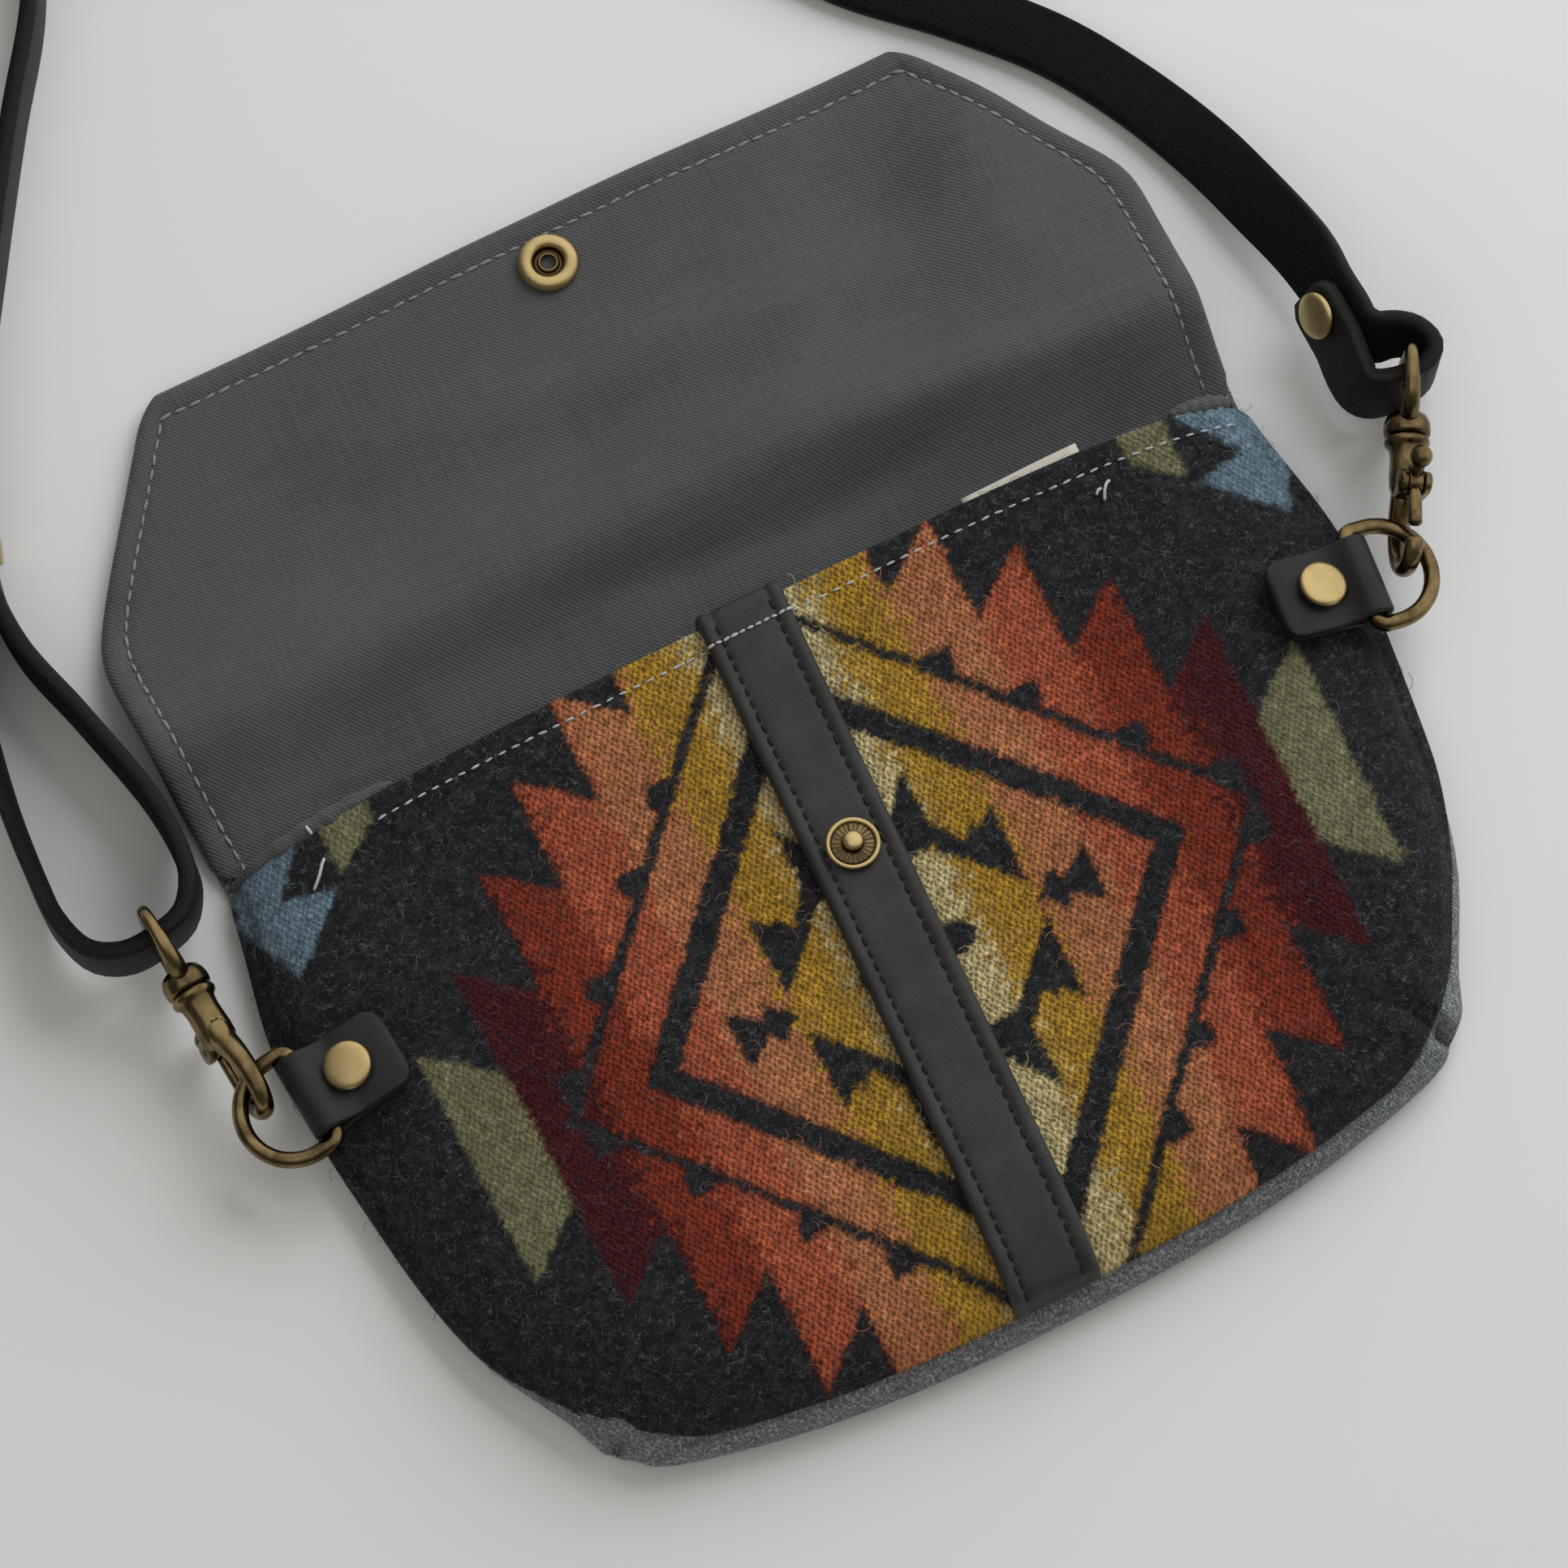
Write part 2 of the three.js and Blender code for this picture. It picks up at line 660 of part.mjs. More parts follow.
// Swivel hooks
const hookFrames = {};
for (const name of ["left", "right"]) {
  const { wireAt, turn, side, up } = hooks[name];
  const angle = THREE.MathUtils.degToRad(turn);
  const along = new THREE.Vector3(Math.sin(angle), -Math.cos(angle), 0);
  const rise = new THREE.Vector3(0, 0, 1);
  const away = new THREE.Vector3(-along.y, along.x, 0).multiplyScalar(side);
  const tilt = THREE.MathUtils.degToRad(hookTilt);
  const gate = rise
    .clone()
    .multiplyScalar(up * Math.cos(tilt))
    .addScaledVector(away, Math.sin(tilt));
  const far = barFrames[name].hung.clone().addScaledVector(along, -wireAt);
  const eyeFrame = new THREE.Matrix4()
    .makeBasis(rise, along, new THREE.Vector3().crossVectors(rise, along))
    .setPosition(far);
  const hookFrame = new THREE.Matrix4()
    .makeBasis(gate, along, new THREE.Vector3().crossVectors(gate, along))
    .setPosition(far);
  hookFrames[name] = { far, along, gate };

  const bend = 4;
  const eyePath = [
    ...arc(eyeHalf - bend, eyeWire + bend, bend, 0, -90, 4),
    ...arc(bend - eyeHalf, eyeWire + bend, bend, 270, 180, 4),
    [-eyeHalf, eyeDepth - 5],
    [-eyeHalf + 2.4, eyeDepth - 1.2],
    [-3, eyeDepth + 0.6],
    [3, eyeDepth + 0.6],
    [eyeHalf - 2.4, eyeDepth - 1.2],
    [eyeHalf, eyeDepth - 5],
  ];
  const eyeLoop = solid(sweep(flatPath(eyePath, true), round(eyeWire, 8), true));
  const eyeFoot = [
    [0, eyeDepth - 0.5],
    [3.4, eyeDepth - 0.5],
    [4.2, eyeDepth + 1],
    [4.2, eyeBase],
    [stem, eyeBase],
    [stem, stemEnd],
    [0, stemEnd],
  ];
  const eye = eyeLoop.add(solid(turned(eyeFoot, 16)));
  add(`${name}_swivel_eye`, shapeOf(eye).applyMatrix4(eyeFrame), "oldBrass");

  const collar = eyeBase + gap;
  const bodyProfile = [
    [0, stemEnd + gap],
    [stem + gap, stemEnd + gap],
    [stem + gap, collar],
    [4, collar],
    [4.2, collar + 0.6],
    [4, collar + 1.6],
    [3.6, collar + 2.2],
    [barrel, collar + 5],
    [barrel, barrelEnd - 1],
    [barrel - 1, barrelEnd],
    [0, barrelEnd],
  ];
  const clawPath = [
    [-1, 26],
    [-1.6, 28.5],
    [-3.4, 31.5],
    [-4.7, 34.6],
    [-5, 37.6],
    [-4.1, 40.4],
    [-2.2, 42.3],
    [0, clawEnd],
    [2.2, 42.3],
    [4.1, 40.4],
    [4.9, 38.4],
  ];
  const claw = solid(sweep(flatPath(clawPath), round(clawWire, 8, clawWire + 0.3)));
  const slot = new THREE.BoxGeometry(9, 6.2, leverThick + 2 * gap).translate(5.5, 28.1, 0);
  const cheekShape = new THREE.Shape();
  cheekShape.absarc(pinW, pinS, 2.2, -Math.PI / 2, Math.PI / 2, false);
  cheekShape.lineTo(1, pinS + 2.2);
  cheekShape.lineTo(1, pinS - 2.2);
  cheekShape.closePath();
  const cheekThick = 1.2;
  const cheeks = new THREE.ExtrudeGeometry(cheekShape, {
    depth: leverThick + 2 * gap + 2 * cheekThick,
    bevelEnabled: false,
    curveSegments: 6,
  }).translate(0, 0, -leverThick / 2 - gap - cheekThick);
  const pinHole = rod(pin + gap, 12, 10).rotateX(Math.PI / 2).translate(pinW, pinS, 0);
  const hook = solid(turned(bodyProfile, 16))
    .add(claw)
    .add(solid(cheeks))
    .subtract(solid(slot))
    .subtract(solid(pinHole));
  add(`${name}_hook_body`, shapeOf(hook).applyMatrix4(hookFrame), "oldBrass");

  const pinLength = leverThick + 2 * gap + 2 * cheekThick;
  const pinRod = rod(pin, pinLength, 10).rotateX(Math.PI / 2).translate(pinW, pinS, 0);
  add(`${name}_gate_pin`, pinRod.applyMatrix4(hookFrame), "oldBrass");

  const hub = rod(1.9, leverThick, 14).rotateX(Math.PI / 2).translate(pinW, pinS, 0);
  const gateArm = solid(
    sweep(
      flatPath([[pinW, pinS], [4.6, 32], [4.9, 36.1]]),
      oblong(2.2, leverThick),
    ),
  );
  const thumbArm = solid(
    sweep(flatPath([[pinW, pinS], [6.2, 25.8], [7.6, 24.4]]), oblong(1.8, 2.4)),
  );
  const knob = new THREE.SphereGeometry(2.1, 12, 8).translate(8, 24, 0);
  const lever = solid(hub)
    .add(gateArm)
    .add(thumbArm)
    .add(solid(knob))
    .subtract(solid(pinHole));
  add(`${name}_gate_lever`, shapeOf(lever).applyMatrix4(hookFrame), "oldBrass");
}

// Strap: from the tail at the right eye, round the open loop, to the tail at the left eye.
// Each point holds X, Y, the height over the table and the lean of the width, 90 when on edge.
// A point at an eye is given from the eye's far end, and stands on edge.
const rest = 0.2;
const atEye = (name, dx, dy, lift) => {
  const { far } = hookFrames[name];
  return [far.x + dx, far.y + dy, far.z - strapWidth / 2 + lift, 90];
};
const beyond = mouthY + flapLength;
const strapPoints = [
  atEye("right", -10.9, 18.1, 0),
  atEye("right", -10.8, 12.1, 0),
  atEye("right", -10.8, 7.1, 0),
  atEye("right", -11.5, 1.7, 0),
  atEye("right", -11.5, -2.5, 0),
  atEye("right", -10.3, -4.5, 0),
  atEye("right", -7.1, -5.7, 0),
  atEye("right", -3.1, -5.9, 0),
  atEye("right", 0.9, -5.3, 0),
  atEye("right", 3.6, -2.3, 0),
  atEye("right", 2.3, 1.9, 0),
  atEye("right", -1.1, 4, 0),
  atEye("right", -4.7, 5, 0),
  atEye("right", -7, 7.8, 0),
  atEye("right", -7.1, 11.5, 0),
  atEye("right", -7.3, 17.1, -1),
  [127.8, 70, 1.6, 72],
  [125.6, 83, 0.6, 40],
  [121.8, 99, rest, 14],
  [115.6, 115, rest, 0],
  [106.2, 131, rest, 0],
  [93, beyond + 4.5, rest, 0],
  [76, beyond + 21.5, rest, 0],
  [62, beyond + 44.5, rest, 0],
  [57, beyond + 74.5, rest, 0],
  [66, beyond + 106.5, rest, 0],
  [73, beyond + 140.5, rest, 0],
  [62, beyond + 173.5, rest, 0],
  [35, beyond + 193.5, rest, 8],
  [0, beyond + 195.5, rest, 24],
  [-30, beyond + 176.5, rest, 50],
  [-46, beyond + 144.5, rest, 74],
  [-54, beyond + 110.5, rest, 88],
  [-66, beyond + 79.5, rest, 90],
  [-79, beyond + 58.5, rest, 90],
  [-92, beyond + 36.5, rest, 90],
  [-106, beyond + 11.5, rest, 90],
  [-115.2, 132, rest, 90],
  [-119.4, 116, rest, 90],
  [-119.2, 102, rest, 90],
  [-114.4, 85, rest, 90],
  [-109.4, 65, 0.8, 90],
  atEye("left", 11, 8.1, -1.8),
  atEye("left", 10, 0.9, 0),
  atEye("left", 6.6, -4.1, 0),
  atEye("left", 1, -6.1, 0),
  atEye("left", -5.6, -6.5, 0),
  atEye("left", -11.2, -3.1, -1),
  atEye("left", -14, 4.1, -1.8),
  [-134, 60, 1, 90],
  [-133, 78, rest, 90],
  [-129.6, 98, rest, 90],
  [-125.4, 108, rest, 90],
  [-123.1, 117, rest, 90],
  [-118.9, 133, rest, 90],
];
const strapReach = (lean) => {
  const angle = THREE.MathUtils.degToRad(lean);
  return (strapWidth * Math.sin(angle) + strapThick * Math.cos(angle)) / 2;
};
const strapCurve = new THREE.CatmullRomCurve3(
  strapPoints.map(([x, y, lift, lean]) => new THREE.Vector3(x, y, lift + strapReach(lean))),
  false,
  "centripetal",
);
const strapStations = strapPoints.map(([, , , lean], i) => {
  const t = i / (strapPoints.length - 1);
  const c = strapCurve.getPoint(t);
  const along = strapCurve.getTangent(t);
  const level = new THREE.Vector3(-along.y, along.x, 0).normalize();
  const angle = THREE.MathUtils.degToRad(lean);
  const b = level.multiplyScalar(Math.cos(angle)).add(new THREE.Vector3(0, 0, Math.sin(angle)));
  b.addScaledVector(along, -b.dot(along)).normalize();
  return { c, a: new THREE.Vector3().crossVectors(along, b), b };
});
let strap = solid(sweep(strapStations, oblong(strapThick, strapWidth)));

// Rivets that close the strap's two ends: each holds a place between the layers and its axis
const rightEye = hookFrames.right.far;
const strapRivets = {
  right: { at: [rightEye.x - 8.9, rightEye.y + 13, rightEye.z], axis: [-1, 0, 0] },
  left: { at: [-119.1, 124.5, rest + strapWidth / 2], axis: [-0.967, 0.254, 0] },
};
const strapCaps = [];
for (const name of ["left", "right"]) {
  const { at, axis } = strapRivets[name];
  const turn = new THREE.Quaternion().setFromUnitVectors(
    new THREE.Vector3(0, 1, 0),
    new THREE.Vector3(...axis).normalize(),
  );
  const frame = new THREE.Matrix4()
    .makeRotationFromQuaternion(turn)
    .setPosition(new THREE.Vector3(...at));
  const face = strapThick + 3 * gap;
  const headProfile = [
    [0, -face - 0.6],
    [shank, -face - 0.6],
    [shank, face],
    [rivetRadius - 0.3, face],
    [rivetRadius, face + 0.5],
    [rivetRadius - 0.4, face + 1.1],
    [rivetRadius - 1.6, face + 1.5],
    [0, face + 1.7],
  ];
  const backProfile = [
    [shank + gap, -face - 1],
    [rivetRadius - 0.6, -face - 1],
    [rivetRadius - 0.2, -face],
    [shank + gap, -face],
    [shank + gap, -face - 1],
  ];
  strapCaps.push([`${name}_strap_rivet`, turned(headProfile).applyMatrix4(frame)]);
  strapCaps.push([`${name}_strap_rivet_back`, turned(backProfile).applyMatrix4(frame)]);
  strap = strap.subtract(solid(rod(shank + gap, holeDepth).applyMatrix4(frame)));
}
add("strap", shapeOf(strap), "leather");
for (const [name, geometry] of strapCaps) add(name, geometry, "brass");

// Bare label on the facing at the mouth
const labelLow = canvas + gap + liningThick + gap;
const label = new THREE.BoxGeometry(labelWidth, labelDepth, labelThick);
label.rotateZ(Math.atan(skew));
const labelEdge = mouthAt(labelX / halfAt(1)) + skew * labelX + labelOut;
label.translate(labelX, labelEdge - labelDepth / 2, labelLow + labelThick / 2);
add("label_tag", label, "label");

// The origin is under the middle of the part, its strap left out.
const box = new THREE.Box3();
for (const mesh of group.children) {
  if (!mesh.name.includes("strap")) box.expandByObject(mesh);
}
const middle = box.getCenter(new THREE.Vector3());
group.position.set(-middle.x, -middle.y, -box.min.z);

export default group;
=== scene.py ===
import math

import bmesh
import bpy
import numpy as np
from mathutils import Matrix, Vector


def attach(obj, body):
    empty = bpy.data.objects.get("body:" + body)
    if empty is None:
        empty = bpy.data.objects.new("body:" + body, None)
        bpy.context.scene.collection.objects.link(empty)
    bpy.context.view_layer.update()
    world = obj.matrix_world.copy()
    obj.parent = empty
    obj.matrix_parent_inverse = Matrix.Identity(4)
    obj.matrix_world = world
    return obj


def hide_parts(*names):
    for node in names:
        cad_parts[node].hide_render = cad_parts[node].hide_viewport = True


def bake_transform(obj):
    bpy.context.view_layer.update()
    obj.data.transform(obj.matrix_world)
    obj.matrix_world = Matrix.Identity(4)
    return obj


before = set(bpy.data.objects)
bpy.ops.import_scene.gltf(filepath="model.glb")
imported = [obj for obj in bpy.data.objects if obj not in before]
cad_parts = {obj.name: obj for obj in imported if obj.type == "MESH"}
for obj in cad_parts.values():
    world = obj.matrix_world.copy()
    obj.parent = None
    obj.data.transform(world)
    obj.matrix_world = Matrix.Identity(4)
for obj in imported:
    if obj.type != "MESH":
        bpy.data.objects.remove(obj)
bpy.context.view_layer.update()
scene = bpy.context.scene
scene.view_settings.view_transform = "Standard"

# Shapes are worked out in millimetres from the snap on the front, then moved to the part's frame
snapPlace = np.array([6.8376, 26.2564, 0.0])
upAxis = np.array([0, 0, 1.0])


def toMetres(points):
    return (np.asarray(points, float) - snapPlace) / 1000


def toLinear(hexColour):
    parts = [int(hexColour[i:i + 2], 16) / 255 for i in (1, 3, 5)]
    return [c / 12.92 if c <= 0.04045 else ((c + 0.055) / 1.055) ** 2.4 for c in parts]


def rgba(hexColour):
    return (*toLinear(hexColour), 1.0)


def unit(v):
    v = np.asarray(v, float)
    return v / np.maximum(np.linalg.norm(v, axis=-1, keepdims=True), 1e-12)


def ease(t):
    k = np.clip(t, 0, 1)
    return k * k * (3 - 2 * k)


# A soft hill, 1 at its top
def hill(away, wide):
    return np.exp(-(away / wide) ** 2)


# A shell is a list of points and the faces between them
def makeObject(name, shell, *finishes, recalc=True):
    points, faces = shell
    mesh = bpy.data.meshes.new(name)
    mesh.from_pydata(toMetres(points).tolist(), [], faces)
    for finish in finishes:
        mesh.materials.append(mats[finish])
    mesh.polygons.foreach_set("use_smooth", np.ones(len(mesh.polygons), bool))
    if recalc:
        work = bmesh.new()
        work.from_mesh(mesh)
        bmesh.ops.remove_doubles(work, verts=work.verts, dist=1e-7)
        bmesh.ops.recalc_face_normals(work, faces=work.faces)
        work.to_mesh(mesh)
        work.free()
    mesh.update()
    piece = bpy.data.objects.new(name, mesh)
    scene.collection.objects.link(piece)
    return piece


def fit(piece, body, slot, *nodes):
    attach(piece, body)
    if nodes:
        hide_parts(*nodes)
    return piece


def cellCorners(grid):
    return np.stack([grid[:-1, :-1], grid[:-1, 1:], grid[1:, 1:], grid[1:, :-1]], -1)


# Two grids of points, closed round their rim
def gridShell(top, low):
    top, low = np.asarray(top), np.asarray(low)
    rows, cols = top.shape[:2]
    count = rows * cols
    index = np.arange(count).reshape(rows, cols)
    quads = cellCorners(index).reshape(-1, 4)
    rim = np.concatenate([index[0, :-1], index[:-1, -1], index[-1, :0:-1], index[:0:-1, 0]])
    after = np.roll(rim, -1)
    wall = np.stack([rim, rim + count, after + count, after], -1)
    faces = quads.tolist() + (quads[:, ::-1] + count).tolist() + wall.tolist()
    return np.concatenate([top.reshape(-1, 3), low.reshape(-1, 3)]), faces


# A section carried along stations; scale shrinks it towards an end
def sweep(centres, sideways, upward, section, scale=None, loop=False):
    centres = np.asarray(centres, float)
    section = np.asarray(section, float)
    n, m = len(centres), section.shape[-2]
    if section.ndim == 2:
        section = np.broadcast_to(section, (n, m, 2))
    if scale is not None:
        section = section * np.asarray(scale, float).reshape(n, 1, -1)
    sideways, upward = (np.broadcast_to(v, (n, 3))[:, None] for v in (sideways, upward))
    points = centres[:, None] + section[..., :1] * sideways
    points = points + section[..., 1:] * upward
    index = np.arange(n * m).reshape(n, m)
    ahead = np.roll(index, -1, 0) if loop else index[1:]
    here = index if loop else index[:-1]
    quads = np.stack([here, np.roll(here, -1, 1), np.roll(ahead, -1, 1), ahead], -1)
    faces = quads.reshape(-1, 4).tolist()
    if not loop:
        faces += [index[0][::-1].tolist(), index[-1].tolist()]
    return points.reshape(-1, 3), faces


def lathe(profile, place, axis, sides=40, ripple=None):
    axis = unit(axis)
    side = unit(np.cross(axis, [0.3, 0.9, 0.2]))
    other = np.cross(axis, side)
    turn = np.arange(sides) * 2 * math.pi / sides
    ring = np.cos(turn)[:, None] * side + np.sin(turn)[:, None] * other
    points, rows, faces = [], [], []
    for radius, height in profile:
        if radius < 1e-6:
            rows.append([len(points)])
            points.append(place + axis * height)
        else:
            lift = ripple(radius, turn) if ripple else np.zeros(sides)
            rows.append(list(range(len(points), len(points) + sides)))
            points.extend(place + ring * radius + axis * (height + lift)[:, None])
    for a, b in zip(rows, rows[1:]):
        for i in range(sides):
            k = (i + 1) % sides
            if len(a) == 1 and len(b) == 1:
                continue
            if len(a) == 1:
                faces.append([a[0], b[k], b[i]])
            elif len(b) == 1:
                faces.append([a[i], a[k], b[0]])
            else:
                faces.append([a[i], a[k], b[k], b[i]])
    return np.array(points), faces


def joined(*shells):
    points, faces = [], []
    for shellPoints, shellFaces in shells:
        start = sum(len(p) for p in points)
        points.append(np.asarray(shellPoints))
        faces += [[i + start for i in face] for face in shellFaces]
    return np.concatenate(points), faces


def ellipse(across, tall, sides):
    turn = (np.arange(sides) + 0.5) * 2 * math.pi / sides
    return np.stack([np.cos(turn) * across, np.sin(turn) * tall], -1)


def roundedBar(width, height, radius, steps=4):
    points = []
    for cx, cy, start in ((1, 1, 0), (-1, 1, 90), (-1, -1, 180), (1, -1, 270)):
        for i in range(steps + 1):
            turn = math.radians(start + 90 * i / steps)
            x = cx * (width / 2 - radius) + math.cos(turn) * radius
            points.append((x, cy * (height / 2 - radius) + math.sin(turn) * radius))
    return np.array(points)


# Centripetal Catmull-Rom line through points, with further columns carried along
def smoothLine(points, perSpan):
    p = np.asarray(points, float)
    p = np.concatenate([[2 * p[0] - p[1]], p, [2 * p[-1] - p[-2]]])
    out = []
    for i in range(1, len(p) - 2):
        a, b, c, d = p[i - 1:i + 3]
        knots = [0.0]
        for s, e in ((a, b), (b, c), (c, d)):
            knots.append(knots[-1] + max(np.linalg.norm(e[:3] - s[:3]), 1e-9) ** 0.5)
        t0, t1, t2, t3 = knots
        count = perSpan[i - 1] if hasattr(perSpan, "__len__") else perSpan
        for t in np.linspace(t1, t2, count, endpoint=False):
            a1 = (t1 - t) / (t1 - t0) * a + (t - t0) / (t1 - t0) * b
            a2 = (t2 - t) / (t2 - t1) * b + (t - t1) / (t2 - t1) * c
            a3 = (t3 - t) / (t3 - t2) * c + (t - t2) / (t3 - t2) * d
            b1 = (t2 - t) / (t2 - t0) * a1 + (t - t0) / (t2 - t0) * a2
            b2 = (t3 - t) / (t3 - t1) * a2 + (t - t1) / (t3 - t1) * a3
            out.append((t2 - t) / (t2 - t1) * b1 + (t - t1) / (t2 - t1) * b2)
    out.append(p[-2])
    return np.array(out)


def tangents(line, loop=False):
    line = np.asarray(line, float)
    if loop:
        return unit(np.roll(line, -1, 0) - np.roll(line, 1, 0))
    return unit(np.gradient(line, axis=0))


def reachAlong(line):
    return np.concatenate([[0], np.cumsum(np.linalg.norm(np.diff(line, axis=0), axis=1))])


# Camera and light
view = {
    "azimuth": -25.718, "elevation": 72.0, "distance": 0.962888, "lens": 121.118,
    "target": (-0.010832, -0.005880, 0.0),
}
turnView, liftView = math.radians(view["azimuth"]), math.radians(view["elevation"])
backward = Vector((
    math.sin(turnView) * math.cos(liftView),
    -math.cos(turnView) * math.cos(liftView),
    math.sin(liftView),
))
rightward = Vector((math.cos(turnView), math.sin(turnView), 0))
upward = backward.cross(rightward)
camera = bpy.data.objects.new("viewCamera", bpy.data.cameras.new("viewCamera"))
camera.data.lens = view["lens"]
camera.data.sensor_width = 36
camera.matrix_world = Matrix.Translation(
    Vector(view["target"]) + backward * view["distance"]
) @ Matrix((rightward, upward, backward)).transposed().to_4x4()
scene.collection.objects.link(camera)
scene.camera = camera

light = {
    "worldFill": 0.31, "worldTint": (1.0, 0.985, 0.955, 1.0), "reflected": (0.13, 1.1), "overhead": 0.9,
    "window": {"from": (1.25, 0.74, 0.9), "size": 1.6, "power": 28.0, "tint": (0.94, 0.975, 1.0)},
    "bounce": {"from": (-0.9, -0.8, 0.9), "size": 1.2, "power": 2.6, "tint": (1.0, 0.92, 0.80)},
}


# A square lamp that faces the bag
def addLamp(name, cut):
    lamp = bpy.data.lights.new(name, "AREA")
    lamp.size = cut["size"]
    lamp.energy = cut["power"]
    lamp.color = cut["tint"]
    obj = bpy.data.objects.new(name, lamp)
    obj.location = cut["from"]
    direction = -Vector(cut["from"])
    obj.rotation_euler = direction.to_track_quat("-Z", "Y").to_euler()
    obj.visible_glossy = False  # reflections show the room instead
    scene.collection.objects.link(obj)


def addNode(tree, kind, settings=None, **inputs):
    node = tree.nodes.new(kind)
    for key, value in (settings or {}).items():
        setattr(node, key, value)
    for key, value in inputs.items():
        number = key[1:].isdigit() and key[0] == "i"
        socket = node.inputs[int(key[1:]) if number else key]
        if isinstance(value, bpy.types.NodeSocket):
            tree.links.new(value, socket)
        else:
            socket.default_value = value
    return node


def maths(tree, operation, a, b=0.0, clamp=False):
    return addNode(
        tree, "ShaderNodeMath", {"operation": operation, "use_clamp": clamp}, i0=a, i1=b
    ).outputs[0]


def scaled(tree, value, by, plus):
    return addNode(
        tree, "ShaderNodeMath", {"operation": "MULTIPLY_ADD"}, i0=value, i1=by, i2=plus
    ).outputs[0]


def mixColour(tree, factor, a, b, blend="MIX"):
    node = addNode(
        tree, "ShaderNodeMix", {"data_type": "RGBA", "blend_type": blend}, i0=factor, i6=a, i7=b
    )
    return node.outputs[2]


def ramp(tree, value, low, high, toLow=0.0, toHigh=1.0):
    node = addNode(tree, "ShaderNodeMapRange", {"interpolation_type": "SMOOTHSTEP"}, Value=value)
    node.inputs["From Min"].default_value = low
    node.inputs["From Max"].default_value = high
    node.inputs["To Min"].default_value = toLow
    node.inputs["To Max"].default_value = toHigh
    return node.outputs[0]


def setWorld():
    world = bpy.data.worlds.new("studio")
    scene.world = world
    world.use_nodes = True
    tree = world.node_tree
    tree.nodes.clear()
    path = tree.nodes.new("ShaderNodeLightPath")
    # Reflections see a room that is brighter towards the window and overhead
    heading = tree.nodes.new("ShaderNodeTexCoord").outputs["Generated"]
    window = unit(light["window"]["from"]).tolist()
    toWindow = addNode(
        tree, "ShaderNodeVectorMath", {"operation": "DOT_PRODUCT"}, i0=heading, i1=window
    ).outputs["Value"]
    room = ramp(tree, toWindow, -0.1, 0.9, *light["reflected"])
    up = addNode(tree, "ShaderNodeSeparateXYZ", i0=heading).outputs[2]
    room = maths(tree, "MAXIMUM", room, ramp(tree, up, 0.66, 0.93, 0.0, light["overhead"]))
    shiny = maths(tree, "MAXIMUM", path.outputs["Is Glossy Ray"], path.outputs["Is Transmission Ray"])
    fill = maths(tree, "MULTIPLY", maths(tree, "SUBTRACT", 1.0, shiny), light["worldFill"])
    strength = maths(tree, "ADD", fill, maths(tree, "MULTIPLY", shiny, room))
    strength = maths(tree, "MAXIMUM", strength, path.outputs["Is Camera Ray"])
    shade = addNode(tree, "ShaderNodeBackground", Color=light["worldTint"], Strength=strength)
    out = tree.nodes.new("ShaderNodeOutputWorld")
    tree.links.new(shade.outputs[0], out.inputs[0])


setWorld()
for lampName in ("window", "bounce"):
    addLamp(lampName + "Lamp", light[lampName])
print("camera and light ready")


def newMaterial(name, roughness=0.6, metallic=0.0):
    material = bpy.data.materials.new(name)
    material.use_nodes = True
    shader = material.node_tree.nodes["Principled BSDF"]
    shader.inputs["Roughness"].default_value = roughness
    shader.inputs["Metallic"].default_value = metallic
    return material, material.node_tree, shader


# Object coordinates, in millimetres unless a scale is given
def objectPlace(tree, scale=1000.0, turn=0.0):
    place = tree.nodes.new("ShaderNodeTexCoord").outputs["Object"]
    return addNode(
        tree, "ShaderNodeMapping", Vector=place, Scale=(scale, scale, scale), Rotation=(0, 0, turn)
    ).outputs[0]


def noise(tree, place, scale, detail=3.0, roughness=0.55):
    return addNode(
        tree, "ShaderNodeTexNoise", Vector=place, Scale=scale, Detail=detail,
        Roughness=roughness,
    ).outputs[0]


def bump(tree, shader, height, distance, strength=1.0):
    node = addNode(tree, "ShaderNodeBump", Strength=strength, Distance=distance, Height=height)
    tree.links.new(node.outputs[0], shader.inputs["Normal"])


def newGroup(name, inputs, outputs):
    group = bpy.data.node_groups.new(name, "ShaderNodeTree")
    for label, kind, value in inputs:
        socket = group.interface.new_socket(label, in_out="INPUT", socket_type=kind)
        if value is not None:
            socket.default_value = value
    for label, kind in outputs:
        group.interface.new_socket(label, in_out="OUTPUT", socket_type=kind)
    return group, group.nodes.new("NodeGroupInput").outputs, group.nodes.new("NodeGroupOutput")


def useGroup(tree, group, **inputs):
    return addNode(tree, "ShaderNodeGroup", {"node_tree": group}, **inputs).outputs


floatSocket, vectorSocket = "NodeSocketFloat", "NodeSocketVector"


